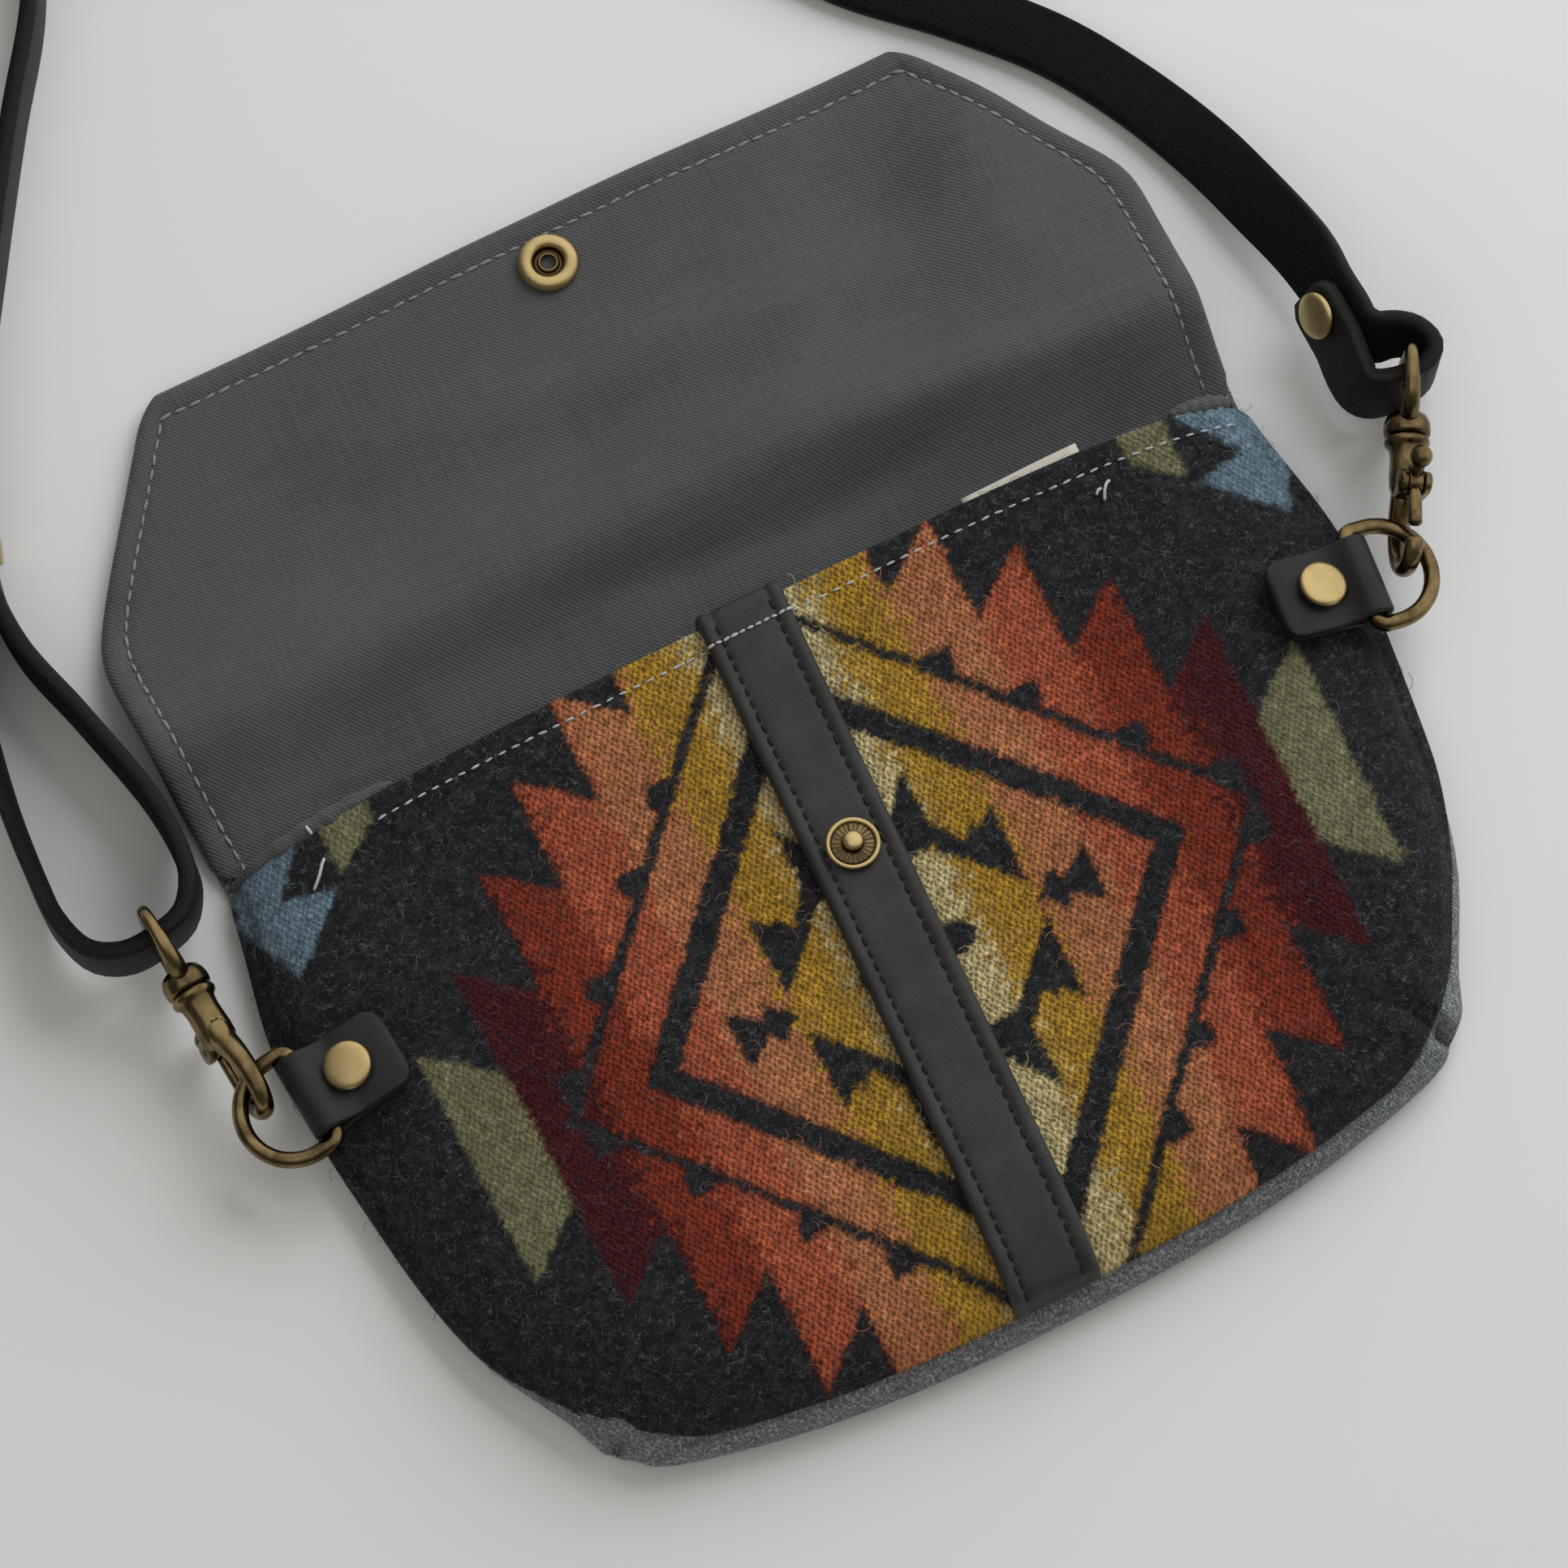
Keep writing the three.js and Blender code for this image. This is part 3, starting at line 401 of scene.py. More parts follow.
# Plain weave: threads over and under each other, with uneven yarn
def weaveGroup():
    group, given, out = newGroup(
        "plainWeave",
        [("Place", vectorSocket, None), ("Pitch", floatSocket, 0.55), ("Uneven", floatSocket, 0.5)],
        [("Height", floatSocket), ("Shade", floatSocket)],
    )
    axes = addNode(group, "ShaderNodeSeparateXYZ", i0=given["Place"])
    waves = []
    for axis in (0, 1):
        turn = maths(group, "DIVIDE", axes.outputs[axis], given["Pitch"])
        waves.append(maths(group, "SINE", maths(group, "MULTIPLY", turn, math.pi)))
    crossing = maths(group, "MULTIPLY", waves[0], waves[1])
    yarns = []
    for stretch in ((0.05, 1.6, 1.0), (1.6, 0.05, 1.0)):
        place = addNode(group, "ShaderNodeMapping", Vector=given["Place"], Scale=stretch)
        yarns.append(noise(group, place.outputs[0], 1.0, 2.0))
    slub = maths(group, "SUBTRACT", maths(group, "ADD", yarns[0], yarns[1]), 1.0)
    slub = maths(group, "MULTIPLY", slub, given["Uneven"])
    height = maths(group, "ADD", maths(group, "MULTIPLY", crossing, 0.5), slub)
    group.links.new(height, out.inputs["Height"])
    # Shade: the raised crossings are painted lighter and the hollows between them darker (painted highlight
    # and painted shade); the rest is uneven yarn tone
    shade = maths(group, "ADD", scaled(group, crossing, 0.14, 0.5), maths(group, "MULTIPLY", slub, 0.55))
    group.links.new(shade, out.inputs["Shade"])
    return group


# Leather: pores and creases of a fine waxed hide
def hideGroup():
    group, given, out = newGroup(
        "waxedHide",
        [("Place", vectorSocket, None), ("Grain", floatSocket, 1.6)],
        [("Height", floatSocket), ("Shade", floatSocket)],
    )
    cells = addNode(
        group, "ShaderNodeTexVoronoi", {"feature": "SMOOTH_F1"}, Vector=given["Place"],
        Scale=given["Grain"],
    )
    fine = noise(group, given["Place"], 2.4, 5.0, 0.65)
    broad = noise(group, given["Place"], 0.11, 3.0)
    height = maths(group, "ADD", cells.outputs["Distance"], maths(group, "MULTIPLY", fine, 0.9))
    group.links.new(height, out.inputs["Height"])
    shade = maths(group, "ADD", maths(group, "MULTIPLY", fine, 0.5), maths(group, "MULTIPLY", broad, 0.5))
    group.links.new(shade, out.inputs["Shade"])
    return group


# Metal: darker tarnish in patches and fine handling marks
def patinaGroup():
    group, given, out = newGroup(
        "metalPatina",
        [("Place", vectorSocket, None), ("Patches", floatSocket, 0.35)],
        [("Tarnish", floatSocket), ("Rough", floatSocket), ("Height", floatSocket)],
    )
    broad = noise(group, given["Place"], given["Patches"], 4.0, 0.6)
    fine = noise(group, given["Place"], 3.2, 4.0, 0.7)
    group.links.new(ramp(group, broad, 0.36, 0.66), out.inputs["Tarnish"])
    rough = maths(group, "ADD", maths(group, "MULTIPLY", fine, 0.22), maths(group, "MULTIPLY", broad, 0.2))
    group.links.new(rough, out.inputs["Rough"])
    group.links.new(fine, out.inputs["Height"])
    return group


plainWeave, waxedHide, metalPatina = weaveGroup(), hideGroup(), patinaGroup()


def clothMaterial(name, dark, pale, pitch, uneven, depth, turn=0.0, rough=0.92, gloss=0.12, fleck=0.0):
    material, tree, shader = newMaterial(name, rough)
    place = objectPlace(tree, turn=turn)
    weave = useGroup(tree, plainWeave, Place=place, Pitch=pitch, Uneven=uneven)
    wear = noise(tree, place, 0.035, 4.0)
    colour = mixColour(tree, weave["Shade"], rgba(dark), rgba(pale))
    colour = mixColour(tree, ramp(tree, wear, 0.3, 0.75, 0.0, 0.35), colour, rgba(pale))
    if fleck:
        spot = noise(tree, place, 1.7, 3.0, 0.7)
        colour = mixColour(tree, ramp(tree, spot, 0.5, 0.66, 0.0, fleck), colour, rgba("#c2c8c6"))
        colour = mixColour(tree, ramp(tree, spot, 0.5, 0.34, 0.0, fleck), colour, rgba("#303434"))
    tree.links.new(colour, shader.inputs["Base Color"])
    shader.inputs["Sheen Weight"].default_value = 0.12
    shader.inputs["Specular IOR Level"].default_value = gloss
    bump(tree, shader, weave["Height"], depth)
    return material


def leatherMaterial(name, dark, pale, grain, depth, gloss):
    material, tree, shader = newMaterial(name, gloss)
    place = objectPlace(tree)
    hide = useGroup(tree, waxedHide, Place=place, Grain=grain)
    colour = mixColour(tree, ramp(tree, hide["Shade"], 0.3, 0.7), rgba(dark), rgba(pale))
    tree.links.new(colour, shader.inputs["Base Color"])
    tree.links.new(scaled(tree, hide["Shade"], 0.25, gloss - 0.12), shader.inputs["Roughness"])
    shader.inputs["Specular IOR Level"].default_value = 0.3
    bump(tree, shader, hide["Height"], depth, 0.6)
    return material


def strapMaterial():
    material, tree, shader = newMaterial("strapLeather", 0.6)
    place = objectPlace(tree)
    hide = useGroup(tree, waxedHide, Place=place, Grain=1.3)
    nap = noise(tree, place, 1.9, 6.0, 0.75)
    flesh = addNode(tree, "ShaderNodeAttribute", {"attribute_name": "flesh"}).outputs["Fac"]
    grainSide = mixColour(tree, hide["Shade"], rgba("#121211"), rgba("#242321"))
    fleshSide = mixColour(tree, ramp(tree, nap, 0.3, 0.75), rgba("#0d0c0c"), rgba("#222120"))
    tree.links.new(mixColour(tree, flesh, grainSide, fleshSide), shader.inputs["Base Color"])
    tree.links.new(scaled(tree, flesh, 0.42, 0.5), shader.inputs["Roughness"])
    rise = maths(tree, "MULTIPLY", nap, maths(tree, "MULTIPLY", flesh, 2.2))
    height = maths(tree, "ADD", hide["Height"], rise)
    shader.inputs["Specular IOR Level"].default_value = 0.14
    bump(tree, shader, height, 0.00022, 0.7)
    return material


def metalMaterial(name, bright, dark, patches, rough, wear):
    material, tree, shader = newMaterial(name, rough, 1.0)
    place = objectPlace(tree)
    patina = useGroup(tree, metalPatina, Place=place, Patches=patches)
    hollow = ramp(tree, tree.nodes.new("ShaderNodeNewGeometry").outputs["Pointiness"], 0.47, 0.53)
    worn = maths(tree, "MULTIPLY", maths(tree, "SUBTRACT", 1.0, hollow), wear)
    mask = maths(tree, "MAXIMUM", maths(tree, "MULTIPLY", patina["Tarnish"], wear), worn)
    tree.links.new(mixColour(tree, mask, rgba(bright), rgba(dark)), shader.inputs["Base Color"])
    gloss = maths(tree, "ADD", patina["Rough"], rough - 0.2, True)
    tree.links.new(gloss, shader.inputs["Roughness"])
    bump(tree, shader, patina["Height"], 0.000012, 0.4)
    return material


def threadMaterial(name, dark, pale):
    material, tree, shader = newMaterial(name, 0.75)
    place = objectPlace(tree)
    twist = addNode(
        tree, "ShaderNodeTexWave", {"bands_direction": "DIAGONAL"}, Vector=place, Scale=1.4,
        Distortion=1.0,
    ).outputs["Fac"]
    # The twist's ridges are painted lighter and its grooves darker: painted highlight and painted shade
    tree.links.new(mixColour(tree, twist, rgba(dark), rgba(pale)), shader.inputs["Base Color"])
    bump(tree, shader, twist, 0.0001, 0.6)
    return material


# Felted hair: thin curled lines in short lengths, and soft haze
def hairGroup():
    group, given, out = newGroup(
        "feltedHair",
        [("Place", vectorSocket, None), ("Curl", floatSocket, 0.6)],
        [("Hair", floatSocket), ("Haze", floatSocket)],
    )
    lines = []
    for shift, breaks in ((0.0, 0.5), (31.0, 0.62)):
        place = addNode(group, "ShaderNodeMapping", Vector=given["Place"], Location=(shift, shift, 0))
        curl = noise(group, place.outputs[0], given["Curl"], 2.0, 0.5)
        away = maths(group, "ABSOLUTE", maths(group, "SUBTRACT", curl, 0.5))
        line = ramp(group, away, 0.004, 0.028, 1.0, 0.0)
        lengths = ramp(group, noise(group, place.outputs[0], breaks, 1.0), 0.46, 0.6)
        lines.append(maths(group, "MULTIPLY", line, lengths))
    group.links.new(maths(group, "MAXIMUM", *lines), out.inputs["Hair"])
    haze = noise(group, given["Place"], 0.42, 6.0, 0.78)
    group.links.new(ramp(group, haze, 0.42, 0.72), out.inputs["Haze"])
    return group


feltedHair = hairGroup()
yarnGrid = {"across": 0.625, "along": 0.5, "left": -109.0, "low": -95.0, "tilt": 0.013}


def woolMaterial():
    material, tree, shader = newMaterial("kilimWool", 0.95)
    place = objectPlace(tree)
    dye = addNode(tree, "ShaderNodeAttribute", {"attribute_name": "dye"}).outputs["Color"]
    channels = addNode(tree, "ShaderNodeSeparateColor", Color=dye).outputs
    dyed = ramp(tree, maths(tree, "MAXIMUM", channels[0], channels[1]), 0.02, 0.06)
    # The weave's knots sit where the mesh has them
    axes = addNode(tree, "ShaderNodeSeparateXYZ", i0=place).outputs
    first = (snapPlace[0] - yarnGrid["left"]) / yarnGrid["across"]
    across = scaled(tree, axes[0], 1 / yarnGrid["across"], first)
    level = maths(tree, "ADD", axes[1], maths(tree, "MULTIPLY", axes[0], -yarnGrid["tilt"]))
    start = snapPlace[1] - yarnGrid["tilt"] * snapPlace[0] - yarnGrid["low"]
    rows = scaled(tree, level, 0.5 / yarnGrid["along"], start * 0.5 / yarnGrid["along"])
    knots = addNode(tree, "ShaderNodeCombineXYZ", i0=across, i1=rows).outputs[0]
    wobble = addNode(tree, "ShaderNodeTexNoise", Vector=place, Scale=0.62, Detail=3.0)
    wobble = addNode(
        tree, "ShaderNodeVectorMath", {"operation": "MULTIPLY_ADD"}, i0=wobble.outputs["Color"],
        i1=(2.6, 2.6, 0), i2=(-1.3, -1.3, 0),
    )
    knots = addNode(tree, "ShaderNodeVectorMath", {"operation": "ADD"}, i0=knots, i1=wobble.outputs[0])
    steps = addNode(tree, "ShaderNodeSeparateXYZ", i0=knots.outputs[0]).outputs
    knob = [maths(tree, "COSINE", maths(tree, "MULTIPLY", steps[i], math.pi)) for i in (0, 1)]
    knob = maths(tree, "MULTIPLY", *knob)
    hair = useGroup(tree, feltedHair, Place=place, Curl=0.62)
    speck = noise(tree, place, 3.4, 5.0, 0.75)
    # The knots' tops are painted lighter and the gaps between them darker: painted highlight and painted
    # shade
    gap = ramp(tree, knob, -0.75, 0.35, 0.46, 1.14)
    # Towards the sides the nap is felted over the weave, and the painted highlight and shade of the knots
    # fade there
    outward = maths(tree, "ABSOLUTE", maths(tree, "ADD", axes[0], snapPlace[0]))
    felt = ramp(tree, outward, 52.0, 86.0, 0.0, 0.55)
    gap = maths(tree, "ADD", gap, maths(tree, "MULTIPLY", felt, maths(tree, "SUBTRACT", 0.86, gap)))
    shade = maths(tree, "ADD", maths(tree, "MULTIPLY", dyed, gap), maths(tree, "SUBTRACT", 1.0, dyed))
    shade = maths(tree, "MULTIPLY", shade, ramp(tree, speck, 0.25, 0.75, 0.68, 1.3))
    grey = addNode(tree, "ShaderNodeCombineColor", i0=shade, i1=shade, i2=shade).outputs[0]
    colour = mixColour(tree, 1.0, dye, grey, "MULTIPLY")
    # Grey hairs show on the dark ground more than on the dyes
    plain = scaled(tree, dyed, -0.75, 1.0)
    for part, most, grey in (("Haze", 0.29, "#55565a"), ("Hair", 0.4, "#86868a")):
        share = maths(tree, "MULTIPLY", hair[part], maths(tree, "MULTIPLY", plain, most))
        colour = mixColour(tree, share, colour, rgba(grey))
    tree.links.new(colour, shader.inputs["Base Color"])
    shader.inputs["Sheen Weight"].default_value = 0.06
    shader.inputs["Sheen Roughness"].default_value = 0.6
    shader.inputs["Specular IOR Level"].default_value = 0.05
    height = maths(tree, "ADD", maths(tree, "MULTIPLY", knob, dyed), maths(tree, "ADD", speck, hair["Hair"]))
    bump(tree, shader, height, 0.00028, 0.8)
    return material


def fibreMaterial():
    material, tree, shader = newMaterial("woolFibre", 0.9)
    dye = addNode(tree, "ShaderNodeAttribute", {"attribute_name": "dye"}).outputs["Color"]
    place = objectPlace(tree)
    share = ramp(tree, noise(tree, place, 0.9, 2.0), 0.4, 0.66, 0.05, 0.42)
    tree.links.new(mixColour(tree, share, dye, rgba("#8c8c8b")), shader.inputs["Base Color"])
    return material


def floorMaterial():
    material, tree, shader = newMaterial("paleTable", 0.85)
    place = objectPlace(tree, 1.0)
    tone = noise(tree, place, 3.0, 3.0)
    tree.links.new(mixColour(tree, tone, rgba("#eaeae8"), rgba("#f1f1f1")), shader.inputs["Base Color"])
    shader.inputs["Specular IOR Level"].default_value = 0.15
    return material


mats = {
    "wool": woolMaterial(),
    "fibre": fibreMaterial(),
    "canvas": clothMaterial("greyCanvas", "#414548", "#858a8c", 0.46, 1.25, 0.00022, 0.03, fleck=0.55),
    "facing": clothMaterial("charcoalCanvas", "#313132", "#5f6061", 0.46, 0.8, 0.00015, 0.03, 0.62, 0.3),
    "lining": clothMaterial("liningCloth", "#3c3d3e", "#57595b", 0.42, 0.5, 0.0001, 0.03),
    "leather": leatherMaterial("blackLeather", "#252524", "#3b3b3a", 2.2, 0.00006, 0.46),
    "tab": leatherMaterial("tabLeather", "#171717", "#282828", 2.2, 0.00006, 0.42),
    "strap": strapMaterial(),
    "brass": metalMaterial("brightBrass", "#d0b984", "#8d7748", 0.12, 0.36, 0.35),
    "oldBrass": metalMaterial("antiqueBrass", "#8b7853", "#2a2118", 0.16, 0.22, 0.75),
    "paleThread": threadMaterial("paleThread", "#6f7577", "#a0a6a7"),
    "whiteThread": threadMaterial("whiteThread", "#a9b0b2", "#d9dddd"),
    "blackThread": threadMaterial("blackThread", "#0b0b0b", "#191919"),
    "label": clothMaterial("labelCloth", "#cfc8b4", "#e6e1d2", 0.3, 0.3, 0.00006),
    "floor": floorMaterial(),
}
print("materials ready")

floorMesh = bpy.data.meshes.new("tableTop")
floorHalf = 4.0
floorCorners = [(x * floorHalf, y * floorHalf, 0) for x, y in ((-1, -1), (1, -1), (1, 1), (-1, 1))]
floorMesh.from_pydata(floorCorners, [], [(0, 1, 2, 3)])
floorMesh.materials.append(mats["floor"])
tableTop = bpy.data.objects.new("tableTop", floorMesh)
scene.collection.objects.link(tableTop)

# Strap: x, y, z in metres in the part's frame, then the lean of the width: 90 on edge, 180 flat
strapCut = {
    "width": 12.7, "thick": 3.4, "edge": 1.1, "step": 2.2, "splitAt": 28,
    "tip": 4.0, "tipNarrow": 0.34,  # rounded corners of the tail
}
strapRoute = [
    (0.11729, 0.03482, 0.01139, 65), (0.11740, 0.02882, 0.01139, 65),
    (0.11740, 0.02382, 0.01139, 65), (0.11670, 0.01842, 0.01139, 66),
    (0.11670, 0.01422, 0.01139, 70), (0.11790, 0.01222, 0.01139, 75),
    (0.12110, 0.01102, 0.01139, 79), (0.12510, 0.01082, 0.01139, 84),
    (0.12909, 0.01142, 0.01139, 88), (0.13179, 0.01442, 0.01139, 92),
    (0.13049, 0.01862, 0.01139, 95), (0.12740, 0.02072, 0.01139, 101),
    (0.12400, 0.02172, 0.01139, 108), (0.12170, 0.02452, 0.01139, 114),
    (0.12160, 0.02822, 0.01139, 115), (0.12130, 0.03382, 0.01039, 120),
    (0.12116, 0.04374, 0.00816, 136), (0.11876, 0.05674, 0.00598, 152),
    (0.11496, 0.07274, 0.00339, 168), (0.10876, 0.08874, 0.00190, 180),
    (0.09936, 0.10474, 0.00190, 180), (0.08616, 0.11974, 0.00190, 180),
    (0.06916, 0.13674, 0.00190, 180), (0.05516, 0.15974, 0.00190, 180),
    (0.05016, 0.18974, 0.00190, 180), (0.05916, 0.22174, 0.00190, 180),
    (0.06616, 0.25574, 0.00190, 180), (0.05516, 0.28874, 0.00190, 180),
    (0.02816, 0.30874, 0.00277, 188), (-0.00684, 0.31074, 0.00434, 204),
    (-0.03684, 0.29174, 0.00616, 230), (-0.05284, 0.25974, 0.00677, 254),
    (-0.06084, 0.22574, 0.00661, 268), (-0.07284, 0.19474, 0.00655, 270),
    (-0.08584, 0.17374, 0.00655, 270), (-0.09884, 0.15174, 0.00655, 270),
    (-0.11284, 0.12674, 0.00655, 270), (-0.12204, 0.10574, 0.00655, 270),
    (-0.12624, 0.08974, 0.00655, 270), (-0.12604, 0.07574, 0.00655, 270),
    (-0.12124, 0.05874, 0.00655, 270), (-0.11624, 0.03874, 0.00715, 270),
    (-0.11549, 0.02669, 0.01005, 270), (-0.11649, 0.01949, 0.01185, 270),
    (-0.11989, 0.01449, 0.01185, 270), (-0.12549, 0.01249, 0.01185, 270),
    (-0.13209, 0.01209, 0.01185, 270), (-0.13769, 0.01549, 0.01085, 270),
    (-0.14049, 0.02269, 0.01005, 270), (-0.14084, 0.03374, 0.00735, 270),
    (-0.13984, 0.05174, 0.00655, 270), (-0.13644, 0.07174, 0.00655, 270),
    (-0.13224, 0.08174, 0.00655, 270), (-0.12994, 0.09074, 0.00655, 270),
    (-0.12574, 0.10674, 0.00655, 270),
]


def strapStations():
    route = np.array(strapRoute)
    route[:, :3] = route[:, :3] * 1000 + snapPlace
    spans = np.linalg.norm(np.diff(route[:, :3], axis=0), axis=1)
    counts = [max(3, int(math.ceil(s / strapCut["step"]))) for s in spans]
    line = smoothLine(route, counts)
    along = tangents(line[:, :3])
    level = unit(np.stack([-along[:, 1], along[:, 0], np.zeros(len(along))], -1))
    lean = np.radians(line[:, 3])[:, None]
    tall = level * np.cos(lean) + upAxis * np.sin(lean)
    tall = unit(tall - along * (tall * along).sum(1, keepdims=True))
    return line[:, :3], np.cross(along, tall), tall, sum(counts[:strapCut["splitAt"]])


def strapHalf(name, centres, face, tall, endTaper):
    section = roundedBar(strapCut["thick"], strapCut["width"], strapCut["edge"], 3)
    reach = reachAlong(centres)
    toEnd = reach if endTaper == "start" else reach[-1] - reach
    near = np.clip(1 - toEnd / strapCut["tip"], 0, 1)
    width = 1 - strapCut["tipNarrow"] * (1 - np.sqrt(1 - near ** 2))
    scale = np.stack([np.ones(len(centres)), width], -1)
    piece = makeObject(name, sweep(centres, face, tall, section, scale), "strap")
    flesh = np.tile(ease((0.2 - section[:, 0] / strapCut["thick"] * 2) / 0.9), len(centres))
    layer = piece.data.attributes.new("flesh", "FLOAT", "POINT")
    layer.data.foreach_set("value", flesh.astype(np.float32))
    return piece, toMetres(centres), reach[-1] / 1000


strapLine, strapFace, strapTall, strapSplit = strapStations()
halves = {
    "right": slice(0, strapSplit + 1),
    "left": slice(strapSplit, len(strapLine)),
}
straps, strapPaths, strapLengths = {}, {}, {}
for side, part in halves.items():
    piece, path, length = strapHalf(
        side + "Strap", strapLine[part], strapFace[part], strapTall[part],
        "start" if side == "right" else "end",
    )
    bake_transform(piece)
    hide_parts("strap")
    straps[side], strapPaths[side], strapLengths[side] = piece, path, length
print("strap", {side: round(length, 3) for side, length in strapLengths.items()})

# Body of the bag: the same outline and dome as the part, in millimetres
bagShape = {
    "sideHalf": [84.5, 99.5, 106, 108.8, 104.5],  # half widths, bottom corner to mouth
    "mouthY": 50.5, "mouthDip": 4.5, "bottomY": -91.0, "bottomLift": 11.5, "skew": 0.028,
    "seamHigh": 9.0, "seamLow": 5.0, "woolIn": 3.0, "rollOver": 2.7,
    "puff": 8.0, "puffMouth": 5.6, "puffReach": 26.0,
    "turnIn": 1.1, "band": 2.4, "beadInner": 4.6, "canvas": 1.1, "facing": 0.8, "gap": 0.3,
}
bodyLength = bagShape["mouthY"] - bagShape["bottomY"]


def halfAt(v):
    steps = np.array(bagShape["sideHalf"])
    k = np.clip(v, 0, 1) * (len(steps) - 1)
    i = np.minimum(np.floor(k).astype(int), len(steps) - 2)
    t = k - i
    a, b, c, d = (steps[np.clip(i + j, 0, len(steps) - 1)] for j in (-1, 0, 1, 2))
    return b + 0.5 * t * (c - a + t * (2 * a - 5 * b + 4 * c - d + t * (3 * b - a - 3 * c + d)))


def bottomAt(u):
    return bagShape["bottomY"] + bagShape["bottomLift"] * np.abs(u) ** 2.5


def mouthAt(u):
    return bagShape["mouthY"] - bagShape["mouthDip"] * u ** 4


def seamAt(v):
    low, high = bagShape["seamLow"], bagShape["seamHigh"]
    return low + (high - low) * (1 - np.clip(v, 0, 1)) ** 2


def planAt(u, v):
    x = u * halfAt(v)
    rise = bottomAt(u)
    return x, rise + v * (mouthAt(u) - rise) + bagShape["skew"] * x


# The place across and up the bag of a plan point
def acrossUp(x, y):
    x, y = np.broadcast_arrays(np.asarray(x, float), np.asarray(y, float))
    level = y - bagShape["skew"] * x
    u, v = np.zeros(x.shape), np.full(x.shape, 0.5)
    for _ in range(24):
        u = np.clip(x / halfAt(v), -1.25, 1.25)
        rise = bottomAt(u)
        v = (level - rise) / (mouthAt(u) - rise)
    return u, v


def swell(d):
    t = np.clip((d - bagShape["woolIn"]) / bagShape["puffReach"], 0, 1)
    return np.sqrt(1 - (1 - t) ** 2)


def domeHeight(u, v):
    v = np.clip(v, 0, 1)
    side = halfAt(v) * (1 - np.minimum(np.abs(u), 1))
    high = bagShape["puff"] + (bagShape["puffMouth"] - bagShape["puff"]) * ease((v - 0.45) / 0.55)
    return seamAt(v) + high * swell(side) * swell(v * bodyLength)


def frontAt(x, y):
    return domeHeight(*acrossUp(x, y))


# Soft unevenness of the front; it fades out under the strip and the tabs
sagCut = {
    "broad": 0.45, "slanted": 0.3, "down": 0.25,
    "stripLean": 0.035, "stripHalf": 8, "tabAt": (97, 4.4), "tabReach": 11,
}


def sag(x, y):
    wave = sagCut["broad"] * np.sin(x / 23 + 0.8) * np.sin(y / 19 + 0.4)
    wave = wave + sagCut["slanted"] * np.sin((x + 1.4 * y) / 14.0)
    strip = ease((np.abs(x - sagCut["stripLean"] * y) - sagCut["stripHalf"]) / 14)
    tabX, tabY = sagCut["tabAt"]
    tabs = 1.0
    for side in (-1, 1):
        tabs = tabs * ease((np.hypot(x - side * tabX, y - tabY) - sagCut["tabReach"]) / 12)
    return (wave - sagCut["down"]) * strip * tabs


# Above the corners the wool rolls over the seam at the sides and hides it
rollCut = {"start": (0.07, 0.15), "span": (0.13, 0.26)}  # left and right side


def rolledAt(v, u):
    start, span = (np.where(u < 0, *rollCut[key]) for key in ("start", "span"))
    return ease((np.asarray(v) - start) / span)


# A crease runs from the dart at each bottom corner up into the wool, with a soft lip on both sides
puckerCut = {
    "x": 80.0, "y": -77.0, "heading": (0.62, 0.78), "deep": 1.5, "wide": 1.6, "length": 13.0,
    "lip": 0.7, "lipOff": 4.5, "lipWide": 2.6, "lipLength": 15.0,
}


def pucker(x, y):
    x, y = np.asarray(x), np.asarray(y)
    a, b = puckerCut["heading"]
    total = 0.0
    for side in (-1, 1):
        px = side * (x - side * puckerCut["x"])
        py = y - puckerCut["y"] - bagShape["skew"] * x
        along = -px * a + py * b
        off = px * b + py * a
        begun = ease((along + 6) / 4)
        deep = puckerCut["deep"] * hill(off, puckerCut["wide"])
        lip = puckerCut["lip"] * hill(np.abs(off) - puckerCut["lipOff"], puckerCut["lipWide"])
        total = total - deep * begun * ease((puckerCut["length"] - along) / 12)
        total = total + lip * begun * ease((puckerCut["lipLength"] - along) / 12)
    return total


def softFront(x, y):
    u, v = acrossUp(x, y)
    side = halfAt(v) * (1 - np.abs(u))
    fade = swell(side) * swell(v * bodyLength) * ease((1 - v) * 12)
    turned = bagShape["turnIn"] * np.clip(1 - side / bagShape["woolIn"], 0, 1) ** 2
    return domeHeight(u, v) + sag(x, y) * fade + pucker(x, y) - turned


# Kilim pattern: a serrated diamond, alike on both sides of the strip
kilim = {
    "middle": (1.4, -23.1), "tilt": 0.013, "fan": 0.00047, "band": 12.45, "rise": 1.13,
    "rings": (47.1, 54.1, 66.6, 69.5), "toothSlope": 0.85,
    "peaks": (200.0, 95.0, 74.8, 62.9, 49.6, 34.7, 23.7, -9.0),
    "beads": (27.7, 39.0, 53.0, 65.3), "beadHalf": 2.6, "beadTall": 2.4, "beadLift": 1.2,
    # Figures in the field: across and up along a line, or half width, foot or height, and slope
    "bow": ((23.7, 28.6, 29.9, 35.8, 35.9), (0, 4.4, 1.5, 5.8, -1)),
    "wingTop": ((9, 13.6, 17.4, 19.6, 20.4, 24.2), (19.5, 20.5, 15.2, 18.4, 16.6, 20.4)),
    "wing": (24.2, 3.2, 1.06), "crown": (12.9, 17.0, 33.4, 1.3), "heart": (12.2, 3.2, 1.1),
    "toothTip": (98.2, 46.5),
    "dyes": ("#dcc993", "#c09431", "#c98156", "#be6142", "#8f3821", "#4e161b", "#8a8664", "#7c94a3"),
    "ground": "#1b1c1f",
}
beigeDye, blueDye, groundDye = 6, 7, 8  # places in the palette; the dyes before them fade outwards


